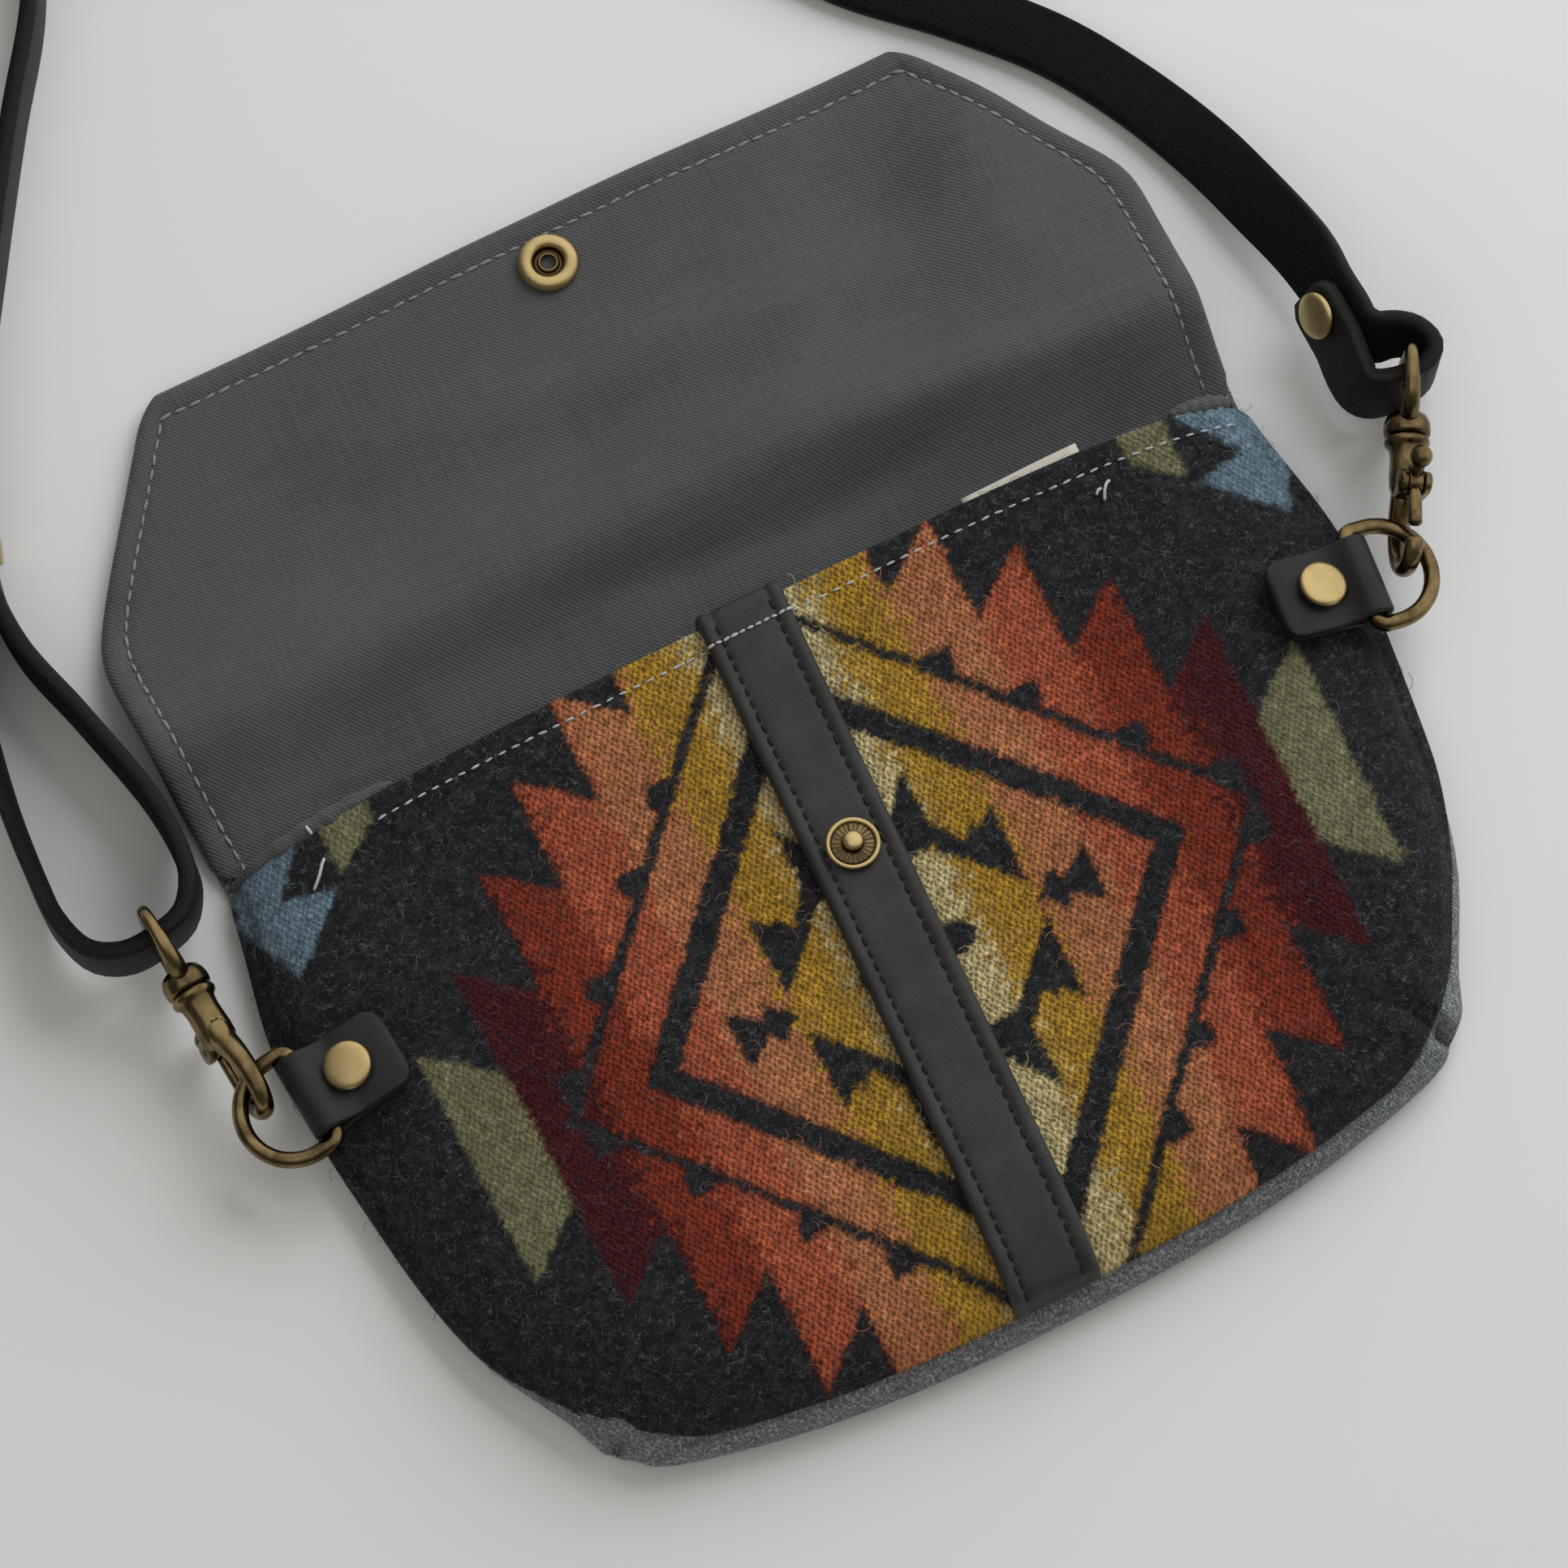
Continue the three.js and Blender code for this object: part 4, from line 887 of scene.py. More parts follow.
def dyeIndex(x, y, stray=0.0):
    middleX, middleY = kilim["middle"]
    tall = y - (middleY + kilim["tilt"] * x)
    wide = np.abs((x - middleX) / (1 + kilim["fan"] * (y - middleY)))
    high = np.abs(tall)
    lastBand = len(kilim["peaks"]) - 1
    band = np.minimum((wide / kilim["band"]).astype(int), lastBand)
    out = wide + high / kilim["rise"]
    inner, thick, ring, thin = kilim["rings"]
    peak = np.array(kilim["peaks"])[band] - kilim["toothSlope"] * (kilim["band"] * (band + 1) - wide)
    dark = (out > thin) & (high > peak)
    dark |= (out > inner) & (out < thick)
    dark |= (out > ring) & (out < thin)
    for bead in kilim["beads"]:
        line = (thin - bead) * kilim["rise"]
        near = np.abs(high - line - kilim["beadLift"]) < kilim["beadTall"]
        dark |= near & (np.abs(wide - bead) < kilim["beadHalf"])
    field = out < inner
    dark |= field & (high < np.interp(wide, *kilim["bow"], left=-1, right=-1))
    half, foot, slope = kilim["wing"]
    wing = (high > foot + (half - wide) * slope) & (high < np.interp(wide, *kilim["wingTop"]))
    dark |= field & (wide < half) & wing
    half, foot, top, slope = kilim["crown"]
    dark |= field & (wide < half) & (high > foot) & (high < top - (half - wide) * slope)
    half, top, slope = kilim["heart"]
    dark |= field & (wide < half) & (high < np.clip((half - wide) * slope, 0, top))
    mixed = np.clip(((wide + stray) / kilim["band"]).astype(int), 0, lastBand)
    dye = np.where(dark, groundDye, np.where((band < beigeDye) & (mixed < beigeDye), mixed, band))
    # Teeth at the mouth's corners
    tipX, tipY = kilim["toothTip"]
    edge = 58.8 + (wide - 85) * 0.22
    foot = tipY + np.where(wide < tipX, (tipX - wide) * 0.93, (wide - tipX) * 2.8)
    blue = (tall > foot) & (tall < edge) & (wide > 84)
    blue |= (tall >= edge) & (wide > 95 - (tall - 61.6) * 0.857) & (wide < 102 + (tall - 63) * 0.15)
    dye = np.where(blue, blueDye, dye)
    beige = (wide > 74.7) & (wide < 83.6) & (tall > 60.8 + (83.4 - wide) * 0.75)
    return np.where(beige, beigeDye, dye)


woolFront = {
    "knob": 0.24, "groundKnob": 0.08, "thick": 2.0, "shift": 0.12,
    "bottomIn": 3.1, "bottomCorner": 15.0, "mouthCorner": 4.0, "ragged": 0.28, "seed": 7,
    "notch": (-81.6, -75.2, 1.4, 2.4),  # at the left dart: place, depth and reach
    "rim": ((0.3, -0.35), (0.48, -0.95), (0.34, -1.6), (-0.5, -2.0)),  # outward and down
    "under": (0.975, 0.9, 0.78, 0.6, 0.4, 0.2), "underCount": 150,  # rings of the hidden side
}
panelMiddle = np.array([0.0, -22.0])


def edgeDistance(x, y):
    u, v = acrossUp(x, y)
    side = halfAt(v) * (1 - np.abs(u)) - bagShape["woolIn"] + bagShape["rollOver"] * rolledAt(v, u)
    low = v * bodyLength - woolFront["bottomIn"]
    top = (1 - v) * bodyLength

    def turned(a, b, radius):
        corner = radius - np.hypot(np.maximum(radius - a, 0), np.maximum(radius - b, 0))
        return np.minimum(np.minimum(a, b), corner)

    notchX, notchY, deep, reach = woolFront["notch"]
    notch = deep * np.exp(-((x - notchX) ** 2 + (y - notchY) ** 2) / reach ** 2)
    return np.minimum(
        turned(side, low, woolFront["bottomCorner"]), turned(side, top, woolFront["mouthCorner"])
    ) - notch


def edgeSlope(x, y, step=0.2):
    dx = edgeDistance(x + step, y) - edgeDistance(x - step, y)
    dy = edgeDistance(x, y + step) - edgeDistance(x, y - step)
    return unit(np.stack([dx, dy], -1))


# A ring of the outline, drawn in towards the middle and set below the front
def innerRing(edge, share, drop):
    plan = panelMiddle + (edge - panelMiddle) * share
    high = softFront(plan[:, 0], plan[:, 1]) - drop
    return np.concatenate([plan, high[:, None]], 1)


def buildWool():
    rng = np.random.default_rng(woolFront["seed"])
    xs = np.arange(yarnGrid["left"], -yarnGrid["left"], yarnGrid["across"])
    ys = np.arange(yarnGrid["low"], 56, yarnGrid["along"])
    gx, gy = np.meshgrid(xs, ys)
    gy = gy + yarnGrid["tilt"] * gx
    inside = edgeDistance(gx, gy) > 0.12
    cell = cellCorners(inside).all(-1)
    around = np.zeros(gx.shape, int)
    for dr in (0, 1):
        for dc in (0, 1):
            around[dr:dr + cell.shape[0], dc:dc + cell.shape[1]] += cell
    border = (around > 0) & (around < 4)
    px, py = gx.copy(), gy.copy()
    for _ in range(2):
        bx, by = px[border], py[border]
        slope = edgeSlope(bx, by)
        reach = edgeDistance(bx, by)
        px[border] = bx - slope[:, 0] * reach
        py[border] = by - slope[:, 1] * reach

    rows, cols = np.indices(gx.shape)
    knobRow = rows // 2
    knobCol = np.clip(cols - (cols - knobRow) % 2, 0, gx.shape[1] - 1)
    centre = (np.minimum(knobRow * 2, gx.shape[0] - 1), knobCol)
    isKnob = (rows % 2 == 0) & ((cols - knobRow) % 2 == 0)
    loose = rng.normal(0, woolFront["ragged"], (2, *gx.shape))
    wander = 0.32 * np.sin(gy / 2.1 + gx / 7.0) * np.sin(gx / 3.3)
    cx = gx[centre] + loose[0][centre] + wander
    cy = gy[centre] + loose[1][centre] + wander
    run = rng.normal(0, 1.3, gx.shape)[centre]
    dye = dyeIndex(cx, cy, run)
    palette = np.array([toLinear(c) for c in (*kilim["dyes"], kilim["ground"])])
    tone = 1 + 0.17 * rng.normal(0, 1, gx.shape)[centre]
    # Felted edges: each point also takes the dyes a little way round it
    colour = palette[dye] * 0.5
    for _ in range(4):
        stray = rng.normal(0, 0.3, (2, *gx.shape))
        nearby = dyeIndex(gx + stray[0], gy + stray[1], run + rng.normal(0, 1.6))
        colour = colour + palette[nearby] * 0.125
    colour = colour * np.clip(tone, 0.65, 1.4)[..., None]
    # Points between the knots in the dyed areas are painted darker: painted shade in the dips
    paintedShadeDips = ~isKnob & (dye != groundDye)
    colour[paintedShadeDips] = colour[paintedShadeDips] * 0.86
    high = np.where(dye == groundDye, woolFront["groundKnob"], woolFront["knob"])
    high = high * np.clip(1 + 0.45 * rng.normal(0, 1, gx.shape), 0.1, 2)
    knob = np.where(isKnob & ~border, high, 0.0)
    knob = knob + np.where(border, 0, rng.normal(0, 0.03, gx.shape))

    inner = around == 4
    px[inner] += rng.normal(0, woolFront["shift"], inner.sum())
    py[inner] += rng.normal(0, woolFront["shift"], inner.sum())
    used = around > 0
    number = np.full(gx.shape, -1)
    number[used] = np.arange(used.sum())
    top = np.stack([px, py, softFront(px, py) + knob], -1)[used]
    quads = cellCorners(number)[cell]
    count = len(top)
    starts = quads.reshape(-1)
    ends = np.roll(quads, -1, 1).reshape(-1)
    outer = ~np.isin(starts * count + ends, ends * count + starts)
    following = dict(zip(starts[outer].tolist(), ends[outer].tolist()))
    loop = [int(starts[outer][0])]
    while following[loop[-1]] != loop[0]:
        loop.append(following[loop[-1]])
    loop = np.array(loop)
    edge = top[loop]
    outward = -edgeSlope(edge[:, 0], edge[:, 1])
    points, faces = [top], quads.tolist()
    colours = [colour[used]]
    previous = loop
    for out, down in woolFront["rim"]:
        ring = edge + np.concatenate([outward * out, np.full((len(loop), 1), down)], 1)
        fresh = np.arange(len(loop)) + sum(len(p) for p in points)
        faces += np.stack([previous, fresh, np.roll(fresh, -1), np.roll(previous, -1)], -1).tolist()
        points.append(ring)
        # The turned-down rim is painted darker, to 0.7 of its colour: painted shade
        colours.append(colour[used][loop] * 0.7)
        previous = fresh
    # The hidden underside is coarse: fans from the rim, then rings to the middle
    picks = np.linspace(0, len(loop), woolFront["underCount"] + 1)[:-1].astype(int)
    last, atRim = previous, True
    for share in woolFront["under"]:
        fresh = np.arange(len(picks)) + sum(len(p) for p in points)
        points.append(innerRing(edge[picks, :2], share, woolFront["thick"]))
        colours.append(np.tile(palette[groundDye], (len(picks), 1)))
        for j in range(len(picks)):
            k = (j + 1) % len(picks)
            if not atRim:
                faces.append([last[j], fresh[j], fresh[k], last[k]])
                continue
            stop = picks[k] if k else len(loop)
            for i in range(picks[j], stop):
                faces.append([int(last[i]), int(fresh[j]), int(last[(i + 1) % len(loop)])])
            faces.append([int(last[stop % len(loop)]), int(fresh[j]), int(fresh[k])])
        last, atRim = fresh, False
    total = sum(len(p) for p in points)
    points.append(np.array([[*panelMiddle, float(softFront(*panelMiddle)) - woolFront["thick"]]]))
    colours.append(palette[groundDye][None])
    faces += [[int(last[j]), total, int(last[(j + 1) % len(last)])] for j in range(len(last))]
    piece = makeObject("woolFront", (np.concatenate(points), faces), "wool", recalc=False)
    layer = piece.data.attributes.new("dye", "FLOAT_COLOR", "POINT")
    shades = np.concatenate(colours)
    shades = np.concatenate([shades, np.ones((len(shades), 1))], 1)
    layer.data.foreach_set("color", shades.astype(np.float32).reshape(-1))
    return piece, edge


woolPiece, woolOutline = buildWool()
fit(woolPiece, "bag", "kilim_wool", "front_panel")
print("wool front", len(woolPiece.data.polygons), "faces")

# Lining behind the wool: a thin closed sheet on rings from the rim to the middle
liningCut = {"inset": 2.2, "below": 2.5, "thick": 0.8, "shares": (1.0, 0.95, 0.85, 0.7, 0.5, 0.3, 0.12)}


def buildLining():
    picks = np.linspace(0, len(woolOutline), 161)[:-1].astype(int)
    edge = woolOutline[picks, :2] + edgeSlope(*woolOutline[picks, :2].T) * liningCut["inset"]
    drops = (liningCut["below"], liningCut["below"] + liningCut["thick"])
    layers = [[innerRing(edge, share, drop) for share in liningCut["shares"]] for drop in drops]
    rings = layers[0][::-1] + layers[1]
    n = len(picks)
    faces = []
    for r in range(len(rings) - 1):
        for j in range(n):
            k = (j + 1) % n
            faces.append([r * n + j, (r + 1) * n + j, (r + 1) * n + k, r * n + k])
    faces += [list(range(n)), list(range((len(rings) - 1) * n, len(rings) * n))]
    return makeObject("frontLining", (np.concatenate(rings), faces), "lining")


liningPiece = fit(buildLining(), "bag", "lining_cloth", "front_lining")

# Canvas back, seam bead and flap in one cut, then the charcoal facing over it
flapCut = {
    "length": 91.0, "hip": 48.5, "hipHalf": 108.0, "endHalf": 79.4, "corner": 6.0, "liftReach": 60.0,
    "capLift": 2.3, "socketAt": 80.0, "stitchIn": 5.2, "stitchDip": 0.3, "hemPuff": 0.35, "step": 5.0,
}


def flapHalf(r):
    r = np.asarray(r, float)
    start = float(halfAt(1.0))
    widening = start + (flapCut["hipHalf"] - start) * r / flapCut["hip"]
    closing = flapCut["hipHalf"] + (flapCut["endHalf"] - flapCut["hipHalf"]) * (r - flapCut["hip"]) / (
        flapCut["length"] - flapCut["hip"]
    )
    soft = 2.2  # rounds the corner at the hip
    straight = np.minimum(widening, closing) - soft * np.log1p(np.exp(-np.abs(widening - closing) / soft))
    near = np.clip(1 - (flapCut["length"] - r) / flapCut["corner"], 0, 1)
    return straight - flapCut["corner"] * 0.55 * (1 - np.sqrt(1 - near ** 2))


# Heights of the folds that stay in the open flap: a broad one along the mouth, shallow ones beyond it
foldHigh = {
    "mouth": 8.6, "crest": 0.9, "beyond": 3.2, "raised": 3.8, "crease": -1.3,
    "right": 1.1, "left": 0.9, "end": 0.6, "snapFlat": 18.0,
}


# x runs across the flap, r from the mouth to the flap's end
def flapWave(x, r):
    x, r = np.asarray(x, float), np.asarray(r, float)
    crest = 27 - 6.5 * ease((x - 10) / 80)
    along = foldHigh["mouth"] * hill(r - crest, np.where(r < crest, 9.8, 17))
    along = along * (0.88 + 0.12 * np.cos((x - 60) / 38))
    along = along + foldHigh["crest"] * hill(r - crest, 4.5) * ease((x - 5) / 45)
    beyond = foldHigh["beyond"] * hill(r - 55 + 0.09 * x, 9.0) * (0.5 + 0.5 * np.cos((x - 12) / 26))
    lean = 80 + 0.2 * (r - 58)
    raised = foldHigh["raised"] * hill(x - lean, 12.5) * ease((r - 26) / 22) * ease((87 - r) / 22)
    off = np.abs(x - 20)
    crease = foldHigh["crease"] * hill(r - 11 - 0.16 * off, 3.4) * ease((60 - off) / 40)
    right = foldHigh["right"] * ease((x - 60) / 36) * (0.5 + 0.5 * np.sin(r / 6.2 + 0.6)) * ease(r / 16)
    left = foldHigh["left"] * ease((-x - 66) / 34) * (0.5 + 0.5 * np.sin(r / 9.0 - 0.4)) * ease(r / 16)
    end = foldHigh["end"] * ease((r - 66) / 20) * (0.5 + 0.5 * np.sin(x / 17))
    snap = np.exp(-(x ** 2 + (r - flapCut["socketAt"]) ** 2) / foldHigh["snapFlat"] ** 2)
    settled = ease(r / 9)
    return np.maximum(along + beyond + raised + crease + right + left + end, 0) * (1 - snap) * settled


def flapLift(x, r):
    out = 1 - ease((np.abs(x) - 10) / (flapCut["liftReach"] - 10))
    return flapCut["capLift"] * out * ease((r - 35) / 32)


def flapPlace(x, r):
    u = x / np.maximum(flapHalf(r), 1)
    dip = (mouthAt(u) - bagShape["mouthY"]) * np.maximum(1 - r / 30, 0)
    return bagShape["mouthY"] + dip + r + bagShape["skew"] * x


def rowPlaces(half, edges, inner=44):
    mid = np.linspace(-(half - edges[-1]), half - edges[-1], inner)[1:-1]
    return np.concatenate([-half + np.array(edges), mid, half - np.array(edges)[::-1]])


canvasEdges = [0, 0.3, 0.8, 1.5, 2.2, 2.8, 3.4, 4.0, 4.6, 5.3, 6.1, 7.0, 8.2, 10.0, 13.0, 17.0]
flapEdges = [0.4, 0.6, 0.9, 1.35, 1.8, 2.4, 3.2, 4.2, 6.2, 9.0, 11.0, 13.0, 15.0, 18.0, 22.0, 26.0]
seamBead = {
    "corner": 11.0, "swellLow": 0.9, "swellCorner": 0.25, "rollDrop": 3.2,
    "ledgeIn": 2.3, "ledgeDrop": 2.3, "wallIn": (4.0, 4.5), "dartIn": 0.3,
    "dartDeep": (6.4, 4.4), "dartWide": (1.7, 1.3), "dartOff": (-2.6, 0.8),  # left and right corner
}


def buildCanvas():
    top, low = [], []
    downRows = canvasEdges + np.arange(21, bodyLength, 5.0).tolist() + [bodyLength]
    for d in downRows:
        v = d / bodyLength
        half = float(halfAt(v))
        u = rowPlaces(half, canvasEdges) / half
        side = half * (1 - np.abs(u))
        near = np.minimum(side, d)
        # The bottom corners are turned on a curve
        radius = seamBead["corner"]
        p, q = np.clip(1 - side / radius, 0, 1), np.clip(1 - d / radius, 0, 1)
        turnedSide = np.where(side < radius, radius * (1 - p * np.sqrt(1 - q * q / 2)), side)
        turnedLow = np.where(d < radius, radius * (1 - q * np.sqrt(1 - p * p / 2)), d)
        v2 = turnedLow / bodyLength
        x, y = planAt(np.sign(u) * (1 - turnedSide / halfAt(v2)), v2)
        fade = 1 - ease((v - 0.955) / 0.045) * 0.75
        roll = rolledAt(v, u)
        seam = seamAt(v) * fade - seamBead["rollDrop"] * roll * ease((d - 4) / 8)
        t = np.clip(near / bagShape["band"], 0, 1)
        high = seam * (0.45 + 0.55 * np.sqrt(1 - (1 - t) ** 2))
        ledge = seam - seamBead["ledgeDrop"]
        high = np.where(near > seamBead["ledgeIn"], ledge, high)
        high = np.where(near > seamBead["wallIn"][0], ledge * 0.7, high)
        high = np.where(near > seamBead["wallIn"][1], bagShape["canvas"], high)
        # Below the roll the canvas fills the band up to the wool's edge
        inside = edgeDistance(x, y)
        reach = near / np.maximum(near + np.maximum(-inside, 0), 0.01)
        wool = softFront(x, y)
        full = 0.4 * seam + (wool - 1.1 - 0.4 * seam) * np.sqrt(1 - (1 - reach) ** 2)
        full = np.where(inside > 0.6, np.minimum(wool - 2.4, full), full)
        full = np.where(inside > 3.0, bagShape["canvas"], full)
        high = np.maximum(high * roll + full * (1 - roll), bagShape["canvas"])
        t = t * roll + reach * (1 - roll)
        under = seamAt(v) * 0.35 * np.clip(1 - near / bagShape["beadInner"], 0, 1) ** 2
        # The bead swells along the bottom and is drawn in at the dart of each corner
        bend = np.hypot(p, q)
        deep, wide, off = (np.where(u < 0, *seamBead[key]) for key in ("dartDeep", "dartWide", "dartOff"))
        dart = hill((p - q) * radius + off, wide) * ease((np.minimum(p, q) - 0.2) / 0.3)
        beside = hill(np.abs(p - q) * radius - 4.2, 2.4) * ease((bend - 0.75) / 0.35)
        bottom = ease((0.1 - v) / 0.08)
        out = seamBead["swellLow"] * bottom + seamBead["swellCorner"] * beside - seamBead["dartIn"] * dart
        away = unit(np.stack([x, y + 15], -1)) * (out * (1 - t))[:, None]
        high = np.maximum(high - deep * dart * ease(-inside / 1.5), bagShape["canvas"])
        top.append(np.stack([x + away[:, 0], y + away[:, 1], high], -1))
        low.append(np.stack([x + away[:, 0], y + away[:, 1], np.clip(under, 0, high - 0.3)], -1))
    rows = [0.5, 1.5, 3, 5] + np.arange(8, flapCut["length"] - 14, flapCut["step"]).tolist()
    rows += (flapCut["length"] - np.array(flapEdges[:12])[::-1]).tolist()
    for r in rows:
        half = float(flapHalf(r))
        x = rowPlaces(half, flapEdges)
        near = np.minimum(half - np.abs(x), flapCut["length"] - r)
        base = flapLift(x, r) + flapWave(x, r)
        under = base + 0.5 * np.clip(1 - near / 1.4, 0, 1) ** 2
        y = flapPlace(x, r)
        top.append(np.stack([x, y, base + bagShape["canvas"]], -1))
        low.append(np.stack([x, y, under + 0.02], -1))
    return makeObject("canvasBackFlap", gridShell(top, low), "canvas")


facingEdges = [0, 0.12, 0.35, 0.7, 1.2, 1.8, 2.5, 3.2, 3.8, 4.3, 4.7, 5.1, 5.5, 6.0, 7.0, 9.0, 12.0]


def hemProfile(near):
    puff = flapCut["hemPuff"] * hill(near - 2.4, 1.6)
    groove = flapCut["stitchDip"] * hill(near - flapCut["stitchIn"], 0.75)
    turn = 1.5 * (1 - np.sqrt(1 - (1 - np.clip(near / 1.3, 0, 1)) ** 2))
    return puff - groove - turn


def facingTop(x, r):
    near = np.minimum(flapHalf(r) - np.abs(x), flapCut["length"] - r)
    hem = hemProfile(np.maximum(near, 0)) * ease(r / 8)
    thick = bagShape["canvas"] + bagShape["gap"] + bagShape["facing"] + 0.35 * ease(r / 6)
    return flapLift(x, r) + flapWave(x, r) + thick + hem


def buildFacing():
    top, low = [], []
    inside = bagShape["beadInner"] + bagShape["gap"]
    flat = bagShape["canvas"] + 0.15
    for d in [inside, 6, 9, 14] + np.arange(22, bodyLength - 4, 8.0).tolist() + [bodyLength - 3]:
        v = d / bodyLength
        half = float(halfAt(v))
        x, y = planAt(rowPlaces(half - inside, facingEdges) / half, v)
        top.append(np.stack([x, y, np.full(len(x), flat + bagShape["facing"])], -1))
        low.append(np.stack([x, y, np.full(len(x), flat)], -1))
    rows = [0.5, 2, 4, 6.5] + np.arange(8.5, flapCut["length"] - 13, 2.0).tolist()
    rows += (flapCut["length"] - np.array(facingEdges)[::-1]).tolist()
    for r in rows:
        inset = inside * (1 - ease((r - 0.5) / 5))
        x = rowPlaces(float(flapHalf(r)) - inset, facingEdges)
        y = flapPlace(x, r)
        high = facingTop(x, r)
        near = np.minimum(flapHalf(r) - np.abs(x), flapCut["length"] - r)
        # At the rim the facing turns under the canvas edge
        rim = (1 - ease((near - 0.1) / 0.5)) * ease(r / 6)
        under = flapLift(x, r) + flapWave(x, r) + flat - (flat - 0.35) * rim
        top.append(np.stack([x, y, np.maximum(high, under + 0.05)], -1))
        low.append(np.stack([x, y, under], -1))
    return makeObject("flapFacing", gridShell(top, low), "facing")


canvasPiece = fit(buildCanvas(), "bag", "canvas", "back_panel_and_flap")
facingPiece = fit(buildFacing(), "bag", "lining_cloth", "flap_facing")

# Turned edge of the facing that shows at the mouth's two corners
mouthFold = {
    "left": (-0.995, -0.66), "right": (0.86, 0.99), "out": 1.0, "across": 1.9, "tall": 2.0,
    "drop": 1.3, "lowest": 3.2, "stations": 26,
}


def buildMouthFold(name, start, stop):
    count = mouthFold["stations"]
    u = np.linspace(start, stop, count)
    x, y = planAt(u, 1.0)
    z = np.maximum(domeHeight(u, 0.997) - mouthFold["drop"], mouthFold["lowest"])
    centres = np.stack([x, y + mouthFold["out"], z], -1)
    along = tangents(centres)
    side = unit(np.cross(along, upAxis))
    tip = np.sin(np.linspace(0, 1, count) * math.pi) ** 0.4
    lump = 1 + 0.12 * np.sin(np.arange(count) * 1.7)
    scale = np.maximum(tip * lump, 0.15)[:, None] * np.ones(2)
    section = ellipse(mouthFold["across"], mouthFold["tall"], 14)
    shell = sweep(centres, side, np.cross(side, along), section, scale)
    return fit(makeObject(name, shell, "facing"), "bag", "lining_cloth")


mouthFolds = [buildMouthFold(side + "MouthFold", *mouthFold[side]) for side in ("left", "right")]

# Label: a bare strip of cream cloth caught at the mouth
labelCut = {
    "x": 61.0, "width": 24.0, "depth": 14.0, "out": 3.7, "low": 2.55, "thick": 0.5, "curl": 0.9, "wave": 0.25,
}


def buildLabel():
    across = np.linspace(-0.5, 0.5, 13)
    deep = np.linspace(0, 1, 9)
    edge = float(mouthAt(labelCut["x"] / halfAt(1.0))) + bagShape["skew"] * labelCut["x"] + labelCut["out"]
    ax, dy = np.meshgrid(across, deep)
    x = labelCut["x"] + ax * labelCut["width"]
    y = edge - dy * labelCut["depth"] + bagShape["skew"] * ax * labelCut["width"]
    z = labelCut["low"] + labelCut["curl"] * (1 - dy) ** 2
    z = z + labelCut["wave"] * np.sin(ax * 5 + 0.4) * (1 - dy)
    low = np.stack([x, y, z], -1)[::-1]
    return makeObject("bareLabel", gridShell(low + [0, 0, labelCut["thick"]], low), "label")


labelPiece = fit(buildLabel(), "bag", "label_cloth", "label_tag")
print("cloth ready")

# Leather strip: over the dome, round the mouth and tucked inside
stripCut = {
    "width": 17.0, "thick": 2.1, "lean": 0.035, "seat": 0.4, "start": -88.8, "tuck": 12.0,
    "stitchIn": 3.0, "groove": 0.35, "edgeLift": 0.25, "step": 2.2, "endRound": 1.4, "mouthBend": 0.6,
}
stripShares = np.array([
    -0.5, -0.492, -0.475, -0.45, -0.415, -0.375, -0.345, -0.324, -0.30, -0.26, -0.18, -0.09, 0,
    0.09, 0.18, 0.26, 0.30, 0.324, 0.345, 0.375, 0.415, 0.45, 0.475, 0.492, 0.5,
])


def stripX(y):
    return stripCut["lean"] * y


def stripThickness(share):
    edge = (0.5 - np.abs(share)) * stripCut["width"]
    turn = np.sqrt(np.clip(1 - (1 - np.clip(edge / 0.9, 0, 1)) ** 2, 0, 1))
    groove = stripCut["groove"] * hill(edge - stripCut["stitchIn"], 0.55)
    raised = stripCut["edgeLift"] * hill(edge - 1.5, 0.8)
    return stripCut["thick"] * (0.45 + 0.55 * turn) + raised - groove


def stripTopAt(y, share):
    x = stripX(y) + share * stripCut["width"]
    place = y + bagShape["skew"] * share * stripCut["width"]
    return np.array([x, place, float(frontAt(x, place)) + stripCut["seat"] + float(stripThickness(share))])


def buildStrip():
    thick = stripThickness(stripShares)[:, None]
    inner, outer = [], []
    mouthY, skew = bagShape["mouthY"], bagShape["skew"]
    start, step, bend = stripCut["start"], stripCut["step"], stripCut["mouthBend"]
    rows = (start + np.array([0, 0.15, 0.4, 0.8, stripCut["endRound"]])).tolist()
    rows += np.arange(start + step, mouthY - 0.5, step).tolist() + [mouthY]
    for y in rows:
        x = stripX(y) + stripShares * stripCut["width"]
        place = y + skew * stripShares * stripCut["width"]
        z = frontAt(x, np.minimum(place, mouthY + skew * x)) + stripCut["seat"]
        base = np.stack([x, place, z], -1)
        rounding = math.sqrt(1 - (1 - min((y - start) / stripCut["endRound"], 1)) ** 2)
        inner.append(base)
        outer.append(base + upAxis * thick * (0.45 + 0.55 * rounding))
    x0 = stripX(mouthY)
    across = np.stack([stripShares, stripShares * skew, stripShares * 0], -1) * stripCut["width"]
    lip = frontAt(x0 + across[:, 0], mouthY + skew * x0 + across[:, 1]) + stripCut["seat"]
    reach = (bagShape["gap"] * 2 + stripCut["seat"] * 2 + woolFront["thick"] + liningCut["thick"]) / 2
    for turn in np.radians(np.arange(80, -91, -10)):
        base = np.stack([x0 + across[:, 0], mouthY + 0.1 + across[:, 1], lip - reach], -1)
        base = base + np.array([0, bend * math.cos(turn), reach * math.sin(turn)])
        normal = unit([0, math.cos(turn) * reach, bend * math.sin(turn)])
        inner.append(base)
        outer.append(base + normal * thick * 0.95)
    for inward in (3, 6, 9, stripCut["tuck"] - 0.3, stripCut["tuck"]):
        base = np.stack([x0 + across[:, 0], mouthY - inward + across[:, 1], lip - 2 * reach], -1)
        inner.append(base)
        outer.append(base - np.array([0, 0, 0.95]) * thick)
    return makeObject("leatherStrip", gridShell(outer, inner), "leather")


